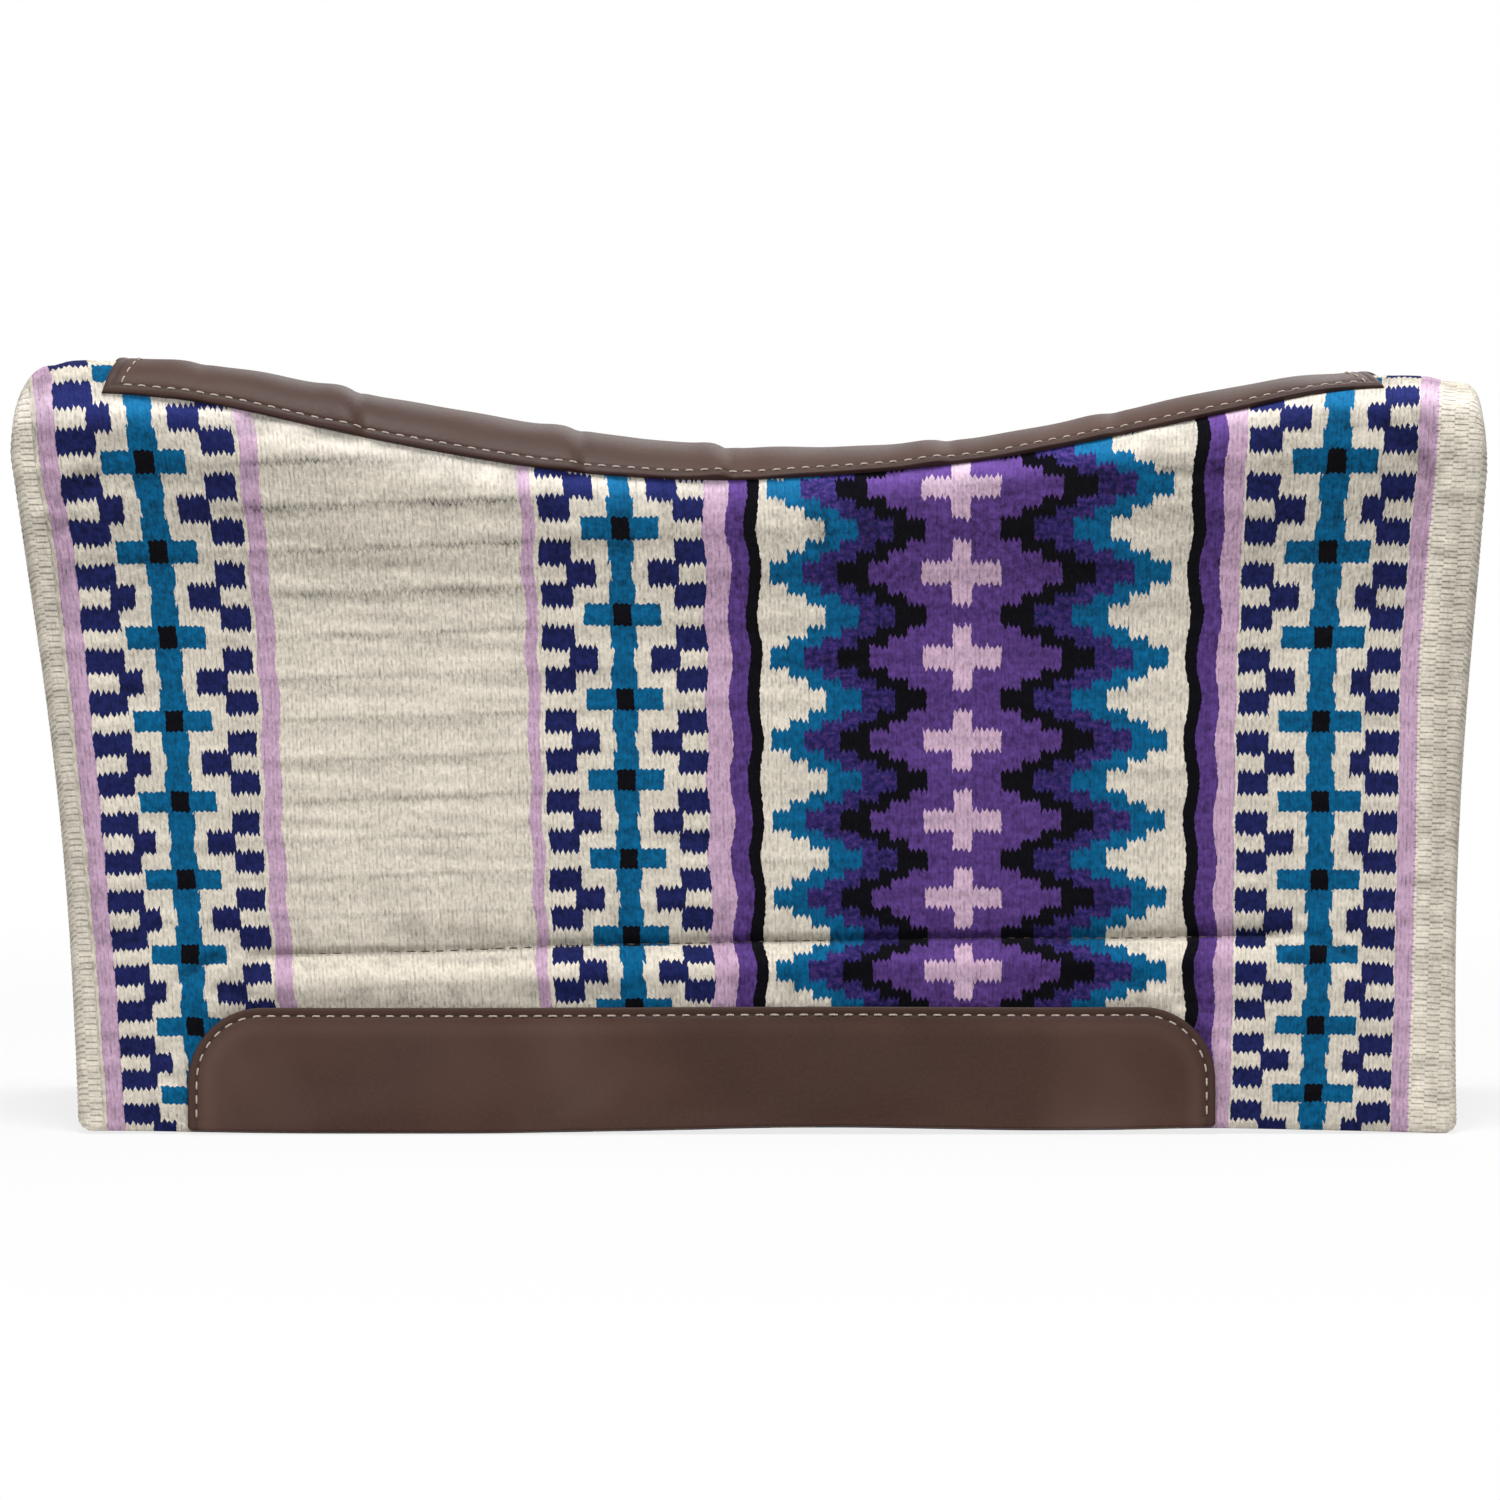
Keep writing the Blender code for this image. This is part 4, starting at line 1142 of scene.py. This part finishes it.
def wearLeather(side, prefix, material):
    insets = [*leather["rings"], *wear["innerRings"]]
    rings, hide, rubAndShade = [], [], []
    for inset in insets:
        ring = wearRing(inset)
        x, z = ring[:, 0], ring[:, 1]
        distance = np.full(len(ring), inset)
        lift = leather["gap"] + leatherHeight(distance, wearInset(x, z)) + 0.0002
        soft = waves(31 + side, x, z, *wear["waves"]) * eased(inset / 0.012)
        depth, dentX, reachX, dentZ, reachZ = wear["dent"]
        dent = -depth * bell(x - dentX, reachX) * bell(z - dentZ, reachZ)
        rings.append(onSide(x, z, lift + soft + dent * eased(inset / 0.01), side))
        hide.append(ring)
        # measured from the sewn edges only: the foot edge has no stitches, so no waxed border
        rubAndShade.append(np.stack([np.clip(wearInset(x, z), 0, 0.02), np.full(len(x), wear["mark"])], axis=-1))
    ring = wearRing(0)
    rings.append(onSide(ring[:, 0], ring[:, 1], leather["gap"], side))
    hide.append(ring)
    rubAndShade.append(np.stack([np.zeros(len(ring)), np.full(len(ring), wear["mark"])], axis=-1))
    uvs = {"hide": np.concatenate(hide), "rubAndShade": np.concatenate(rubAndShade)}
    faces = wearFaces(len(ring), len(insets))
    piece = meshPiece(prefix + "wear_patch", np.concatenate(rings), faces, material, uvs, sharp=50)
    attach(piece, sideBody(side))
    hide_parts(prefix + "wear_leather")
    return piece


def leatherMaterial():
    d = Dyer("brown leather")
    hide = d.uv("hide")
    distance, fromRidge = d.split(d.uv("rubAndShade"))
    broad = d.noise(hide, 7.0, 3.0, 0.5)
    cloudy = d.noise(hide, 21.0, 4.0, 0.55, 0.4)
    fine = d.noise(hide, 420.0, 5.0, 0.7)
    pores = d.node("TexVoronoi", {"Vector": hide, "Scale": 900.0})
    highlightPatches = d.noise(hide, 8.0, 2.0, 0.45, 0.5)
    # painted highlight: the strip is paler, and so is the wear leather where it turns down beside its
    # stitches
    onWear = fromRidge > wear["mark"] - 0.001
    turned = d.soft(distance, 0.0062, 0.0112) * d.soft(distance, 0.0112, 0.0197, 1.0, 0.0)
    turned = turned * d.range(broad, 0.4, 0.62, 0.05, 0.16)
    fromStitches = d.calc("ABSOLUTE", distance - leather["stitchInset"])
    colour = d.coated(
        linear(52, 28, 19), (d.soft(broad, 0.35, 0.68), linear(70, 44, 34)),
        (d.range(cloudy, 0.42, 0.75, 0, 0.5), linear(60, 31, 21)),
        # broad patches of painted highlight
        (d.soft(highlightPatches, 0.50, 0.78, 0, 0.34), linear(104, 80, 73)),
        (onWear * turned + (1.0 - onWear) * 0.1, linear(122, 97, 88)),
        (d.range(fine, 0.3, 0.7, 0, 0.20), linear(94, 66, 55)),
        # dark, waxed border outside the stitches, a darker line under them, and the cut edge
        (d.soft(distance, 0.0026, 0.0052, 0.5, 0.0), linear(52, 32, 27)),
        ((1.0 - d.soft(fromStitches, 0.0004, 0.0015)) * 0.65, linear(40, 24, 20)),
        (d.range(distance, 0.0, 0.0007, 0.8, 0.0), linear(46, 28, 23)),
        # a darker band of painted shade down the middle of the strip, where it turns over the crown
        (d.soft(fromRidge, 0.005, 0.021, 0.60, 0.0), linear(56, 33, 25)),
    )
    rough = d.range(broad, 0.3, 0.7, 0.4, 0.54) + d.range(fine, 0.3, 0.7, -0.04, 0.06)
    normal = d.bump(cloudy, 0.0016, 0.25, d.bump(pores * 0.5 + fine * 0.6, 0.00016, 0.7))
    return d.finish(colour, rough, normal, **{"Specular IOR Level": 0.19})


stitch = {"pitch": 0.0086, "length": 0.0056, "radius": 0.0005, "sides": 8, "rings": 9,
          "quiltLength": 0.0066, "quiltRadius": 0.0004, "quiltInset": 0.050}


def stitchRow(name, path, normals, material, body, node, length=stitch["length"], radius=stitch["radius"],
              closed=False):
    # separate stitches along a path, each with its ends drawn down into the leather or cloth
    path, normals = np.asarray(path), np.asarray(normals)
    if closed:
        path, normals = np.vstack([path, path[:1]]), np.vstack([normals, normals[:1]])
    travelled = np.concatenate([[0], np.cumsum(np.linalg.norm(np.diff(path, axis=0), axis=1))])
    total = travelled[-1]
    count = round(total / stitch["pitch"])
    own = total / count
    sample = lambda s, what: np.array([np.interp(s, travelled, what[:, k]) for k in range(3)])
    points, faces, uvs = [], [], []
    rng = np.random.default_rng(len(name) + count)
    for n in range(count):
        middle = (n + 0.5) * own + rng.uniform(-0.0002, 0.0002)
        reach = length * rng.uniform(0.94, 1.05) / 2
        base = len(points)
        for r in range(stitch["rings"]):
            along = -1 + 2 * r / (stitch["rings"] - 1)
            s = np.clip(middle + along * reach, 0, total)
            centre, normal = sample(s, path), sample(s, normals)
            normal = normal / np.linalg.norm(normal)
            tangent = sample(min(s + 0.0004, total), path) - sample(max(s - 0.0004, 0), path)
            tangent = tangent / np.linalg.norm(tangent)
            sideways = np.cross(tangent, normal)
            # the ends sink in and thin out, and the strands wind round each other
            sink = radius * (0.35 - 1.9 * abs(along) ** 3.2)
            thick = radius * (1.0 - 0.45 * abs(along) ** 4)
            for k in range(stitch["sides"]):
                turn = 2 * math.pi * k / stitch["sides"]
                twist = 1 + 0.10 * math.sin(2 * turn + along * 9)
                points.append(centre + normal * (sink + thick * 0.9 * twist * math.sin(turn))
                              + sideways * thick * 1.1 * twist * math.cos(turn))
                uvs.append((s, k / stitch["sides"]))
        for r in range(stitch["rings"] - 1):
            for k in range(stitch["sides"]):
                m = (k + 1) % stitch["sides"]
                a, b = base + r * stitch["sides"], base + (r + 1) * stitch["sides"]
                faces.append((a + k, a + m, b + m, b + k))
        end = base + (stitch["rings"] - 1) * stitch["sides"]
        faces.append(tuple(base + k for k in range(stitch["sides"])))
        faces.append(tuple(end + k for k in range(stitch["sides"])))
    piece = meshPiece(name, points, faces, material, {"strand": uvs})
    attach(piece, body)
    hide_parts(node)
    return piece


def spineStitches(material):
    inset, slant = leather["stitchInset"], strip["tail"] * 1.15
    front, rear = strip["frontX"] + strip["endInset"], strip["rearX"] - strip["endInset"]
    path = []
    for sign in (-1, 1):
        x = np.linspace(front - slant, rear + slant, 240)
        path += [(v, sign * (stripHalf(v) - inset)) for v in x[:: -sign]]
        end, tail = (rear, slant) if sign < 0 else (front, -slant)
        for share in np.linspace(sign, -sign, 42)[1:-1]:
            path.append((end + tail * abs(share), share * (stripHalf(np.asarray(end)) - inset)))
    path = np.array(path)
    x, across = path.T
    top = stripHeight(x, across)[0] + 0.00015
    points = overSpine(x, across, top)
    above = overSpine(x, across, top + 0.002)
    stitchRow("spine_stitches", points, above - points, material, "ridge", "spine_stitching", closed=True)


def wearStitches(side, prefix, material):
    inset, foot = leather["stitchInset"], wear["stitchFoot"]
    sideCount, bigCount, smallCount, longCount = wear["counts"]
    # up the front, along the top and down the rear, without the foot
    ring = wearRing(inset)[: 2 * (sideCount + bigCount) + longCount - 4]
    ring = ring[ring[:, 1] > foot + 0.0015]
    x, z = np.vstack([(wear["frontX"] + inset, foot), ring, (wear["rearX"] - inset, foot)]).T
    top = leather["gap"] + leather["thickness"]
    points = onSide(x, z, top + 0.00005, side)
    above = onSide(x, z, top + 0.002, side)
    body = sideBody(side)
    stitchRow(prefix + "wear_stitches", points, above - points, material, body, prefix + "wear_stitching")


def quiltStitches(side, prefix, material):
    inset = stitch["quiltInset"]
    x = np.linspace(cover["seamFrontX"] + inset, cover["seamRearX"] - inset, 200)
    slope = seamSlope(x)
    relief = coverRelief(x, slope, side)
    points = placed(x, slope, 0, side, relief + 0.0002)
    above = placed(x, slope, 0, side, relief + 0.002)
    body = sideBody(side)
    stitchRow(prefix + "quilt_stitches", points, above - points, material, body, prefix + "quilt_stitching",
              length=stitch["quiltLength"], radius=stitch["quiltRadius"])


def threadMaterial(name, light, dark):
    d = Dyer(name)
    along, round_ = d.split(d.uv("strand"))
    twist = d.calc("SINE", along * 5200.0 + round_ * 12.566)
    darkening = d.noise(d.join(along, round_), 300.0)
    colour = d.coated(dark, (d.range(twist, -1, 1, 0.15, 0.85), light),
                      (d.range(darkening, 0.35, 0.7, 0, 0.3), dark))
    return d.finish(colour, 0.7, d.bump(twist, 0.0002, 0.6), **{"Specular IOR Level": 0.3})


studio = {
    "elevation": 4.0, "lens": 1200.0, "reach": 29.22, "aim": (0.0007, -0.101, 0.2184), "lampAim": (0, 0, 0.2),
    "ambient": 0.27, "sky": (0.95, 0.97, 1.0, 1), "white": (1, 1, 1, 1),
    "floorHalf": 9.0, "floorShade": (0.86, 0.86, 0.86, 1), "floorRough": 0.9,
    "floorNear": 0.7, "floorFar": 1.7, "floorGlow": 0.80,
    # name, place, size in metres, watts
    "lamps": (("front light", (-0.9, -3.2, 2.2), 2.4, 15), ("top light", (0.0, -0.7, 3.1), 1.4, 72),
              ("back light", (0.8, 2.6, 2.6), 2.2, 36)),
}


def whiteRays(d):
    # 1 for what the camera sees directly, in gloss or through glass
    kinds = ("Is Camera Ray", "Is Glossy Ray", "Is Transmission Ray")
    seen, gloss, glass = d.outputs(d.node("LightPath"), *kinds)
    return d.larger(d.larger(seen, gloss), glass)


def setStudio():
    scene = bpy.context.scene
    scene.view_settings.view_transform = "Standard"
    lens = bpy.data.cameras.new("camera")
    lens.lens, lens.sensor_width, lens.clip_end = studio["lens"], 36, 200
    tilt, reach, (x, y, z) = math.radians(studio["elevation"]), studio["reach"], studio["aim"]
    scene.camera = hung("camera", lens, (x, y - reach * math.cos(tilt), z + reach * math.sin(tilt)),
                        (math.pi / 2 - tilt, 0, 0))
    for name, place, size, power in studio["lamps"]:
        lamp = bpy.data.lights.new(name, "AREA")
        lamp.size, lamp.energy = size, power
        x, y, z = np.array(place) - np.array(studio["lampAim"])
        hung(name, lamp, place, (math.atan2(math.hypot(x, y), z), 0, math.atan2(x, -y)))
    d = Dyer("studio", world=True)
    plain = d.tree.nodes["Background"]
    d.fill(plain, (studio["sky"], studio["ambient"]))
    white = d.node("Background", (studio["white"], 1.0))
    both = d.between(whiteRays(d), Tone(d, plain.outputs[0]), white)
    d.fill(d.tree.nodes["World Output"], (both,))
    scene.world = d.finished
    # floor: its shadow shows near the blanket and fades out into plain white
    d = Dyer("studio floor")
    d.finish(studio["floorShade"], studio["floorRough"], **{"Specular IOR Level": 0.0})
    position = d.outputs(d.node("NewGeometry"), "Position")[0]
    away = d.node("VectorMath", (position,), "Value", operation="LENGTH")
    fade = d.soft(away, studio["floorNear"], studio["floorFar"], studio["floorGlow"], 1.0)
    shaded = Tone(d, d.tree.nodes["Principled BSDF"].outputs[0])
    glow = d.node("Emission", (studio["white"], 1.0))
    d.fill(d.tree.nodes["Material Output"], (d.between(whiteRays(d) * fade, shaded, glow),))
    size = studio["floorHalf"]
    corners = [(-size, -size, 0), (size, -size, 0), (size, size, 0), (-size, size, 0)]
    data = bpy.data.meshes.new("floor")
    data.from_pydata(corners, [], [(0, 1, 2, 3)])
    data.materials.append(d.finished)
    hung("floor", data)


setStudio()
print("studio ready")
finishes = {
    "wool": woolMaterial(), "felt": feltMaterial(), "fleece": fleeceMaterial(), "leather": leatherMaterial(),
    "tan": threadMaterial("tan thread", linear(232, 218, 204), linear(172, 152, 136)),
    # a darker copy of the tan thread, as painted shade on the quilting down in its channel
    "tanInShade": threadMaterial("taupe thread", linear(112, 100, 84), linear(70, 60, 52)),
}
print("finishes mixed")
spineLeather(finishes["leather"])
spineStitches(finishes["tan"])
for side, prefix in ((-1, "left_"), (1, "right_")):
    woolCover(side, prefix, finishes["wool"])
    feltCore(side, prefix, finishes["felt"])
    fleeceLining(side, prefix, finishes["fleece"])
    wearLeather(side, prefix, finishes["leather"])
    wearStitches(side, prefix, finishes["tan"])
    quiltStitches(side, prefix, finishes["tanInShade"])
    print(prefix + "side built")
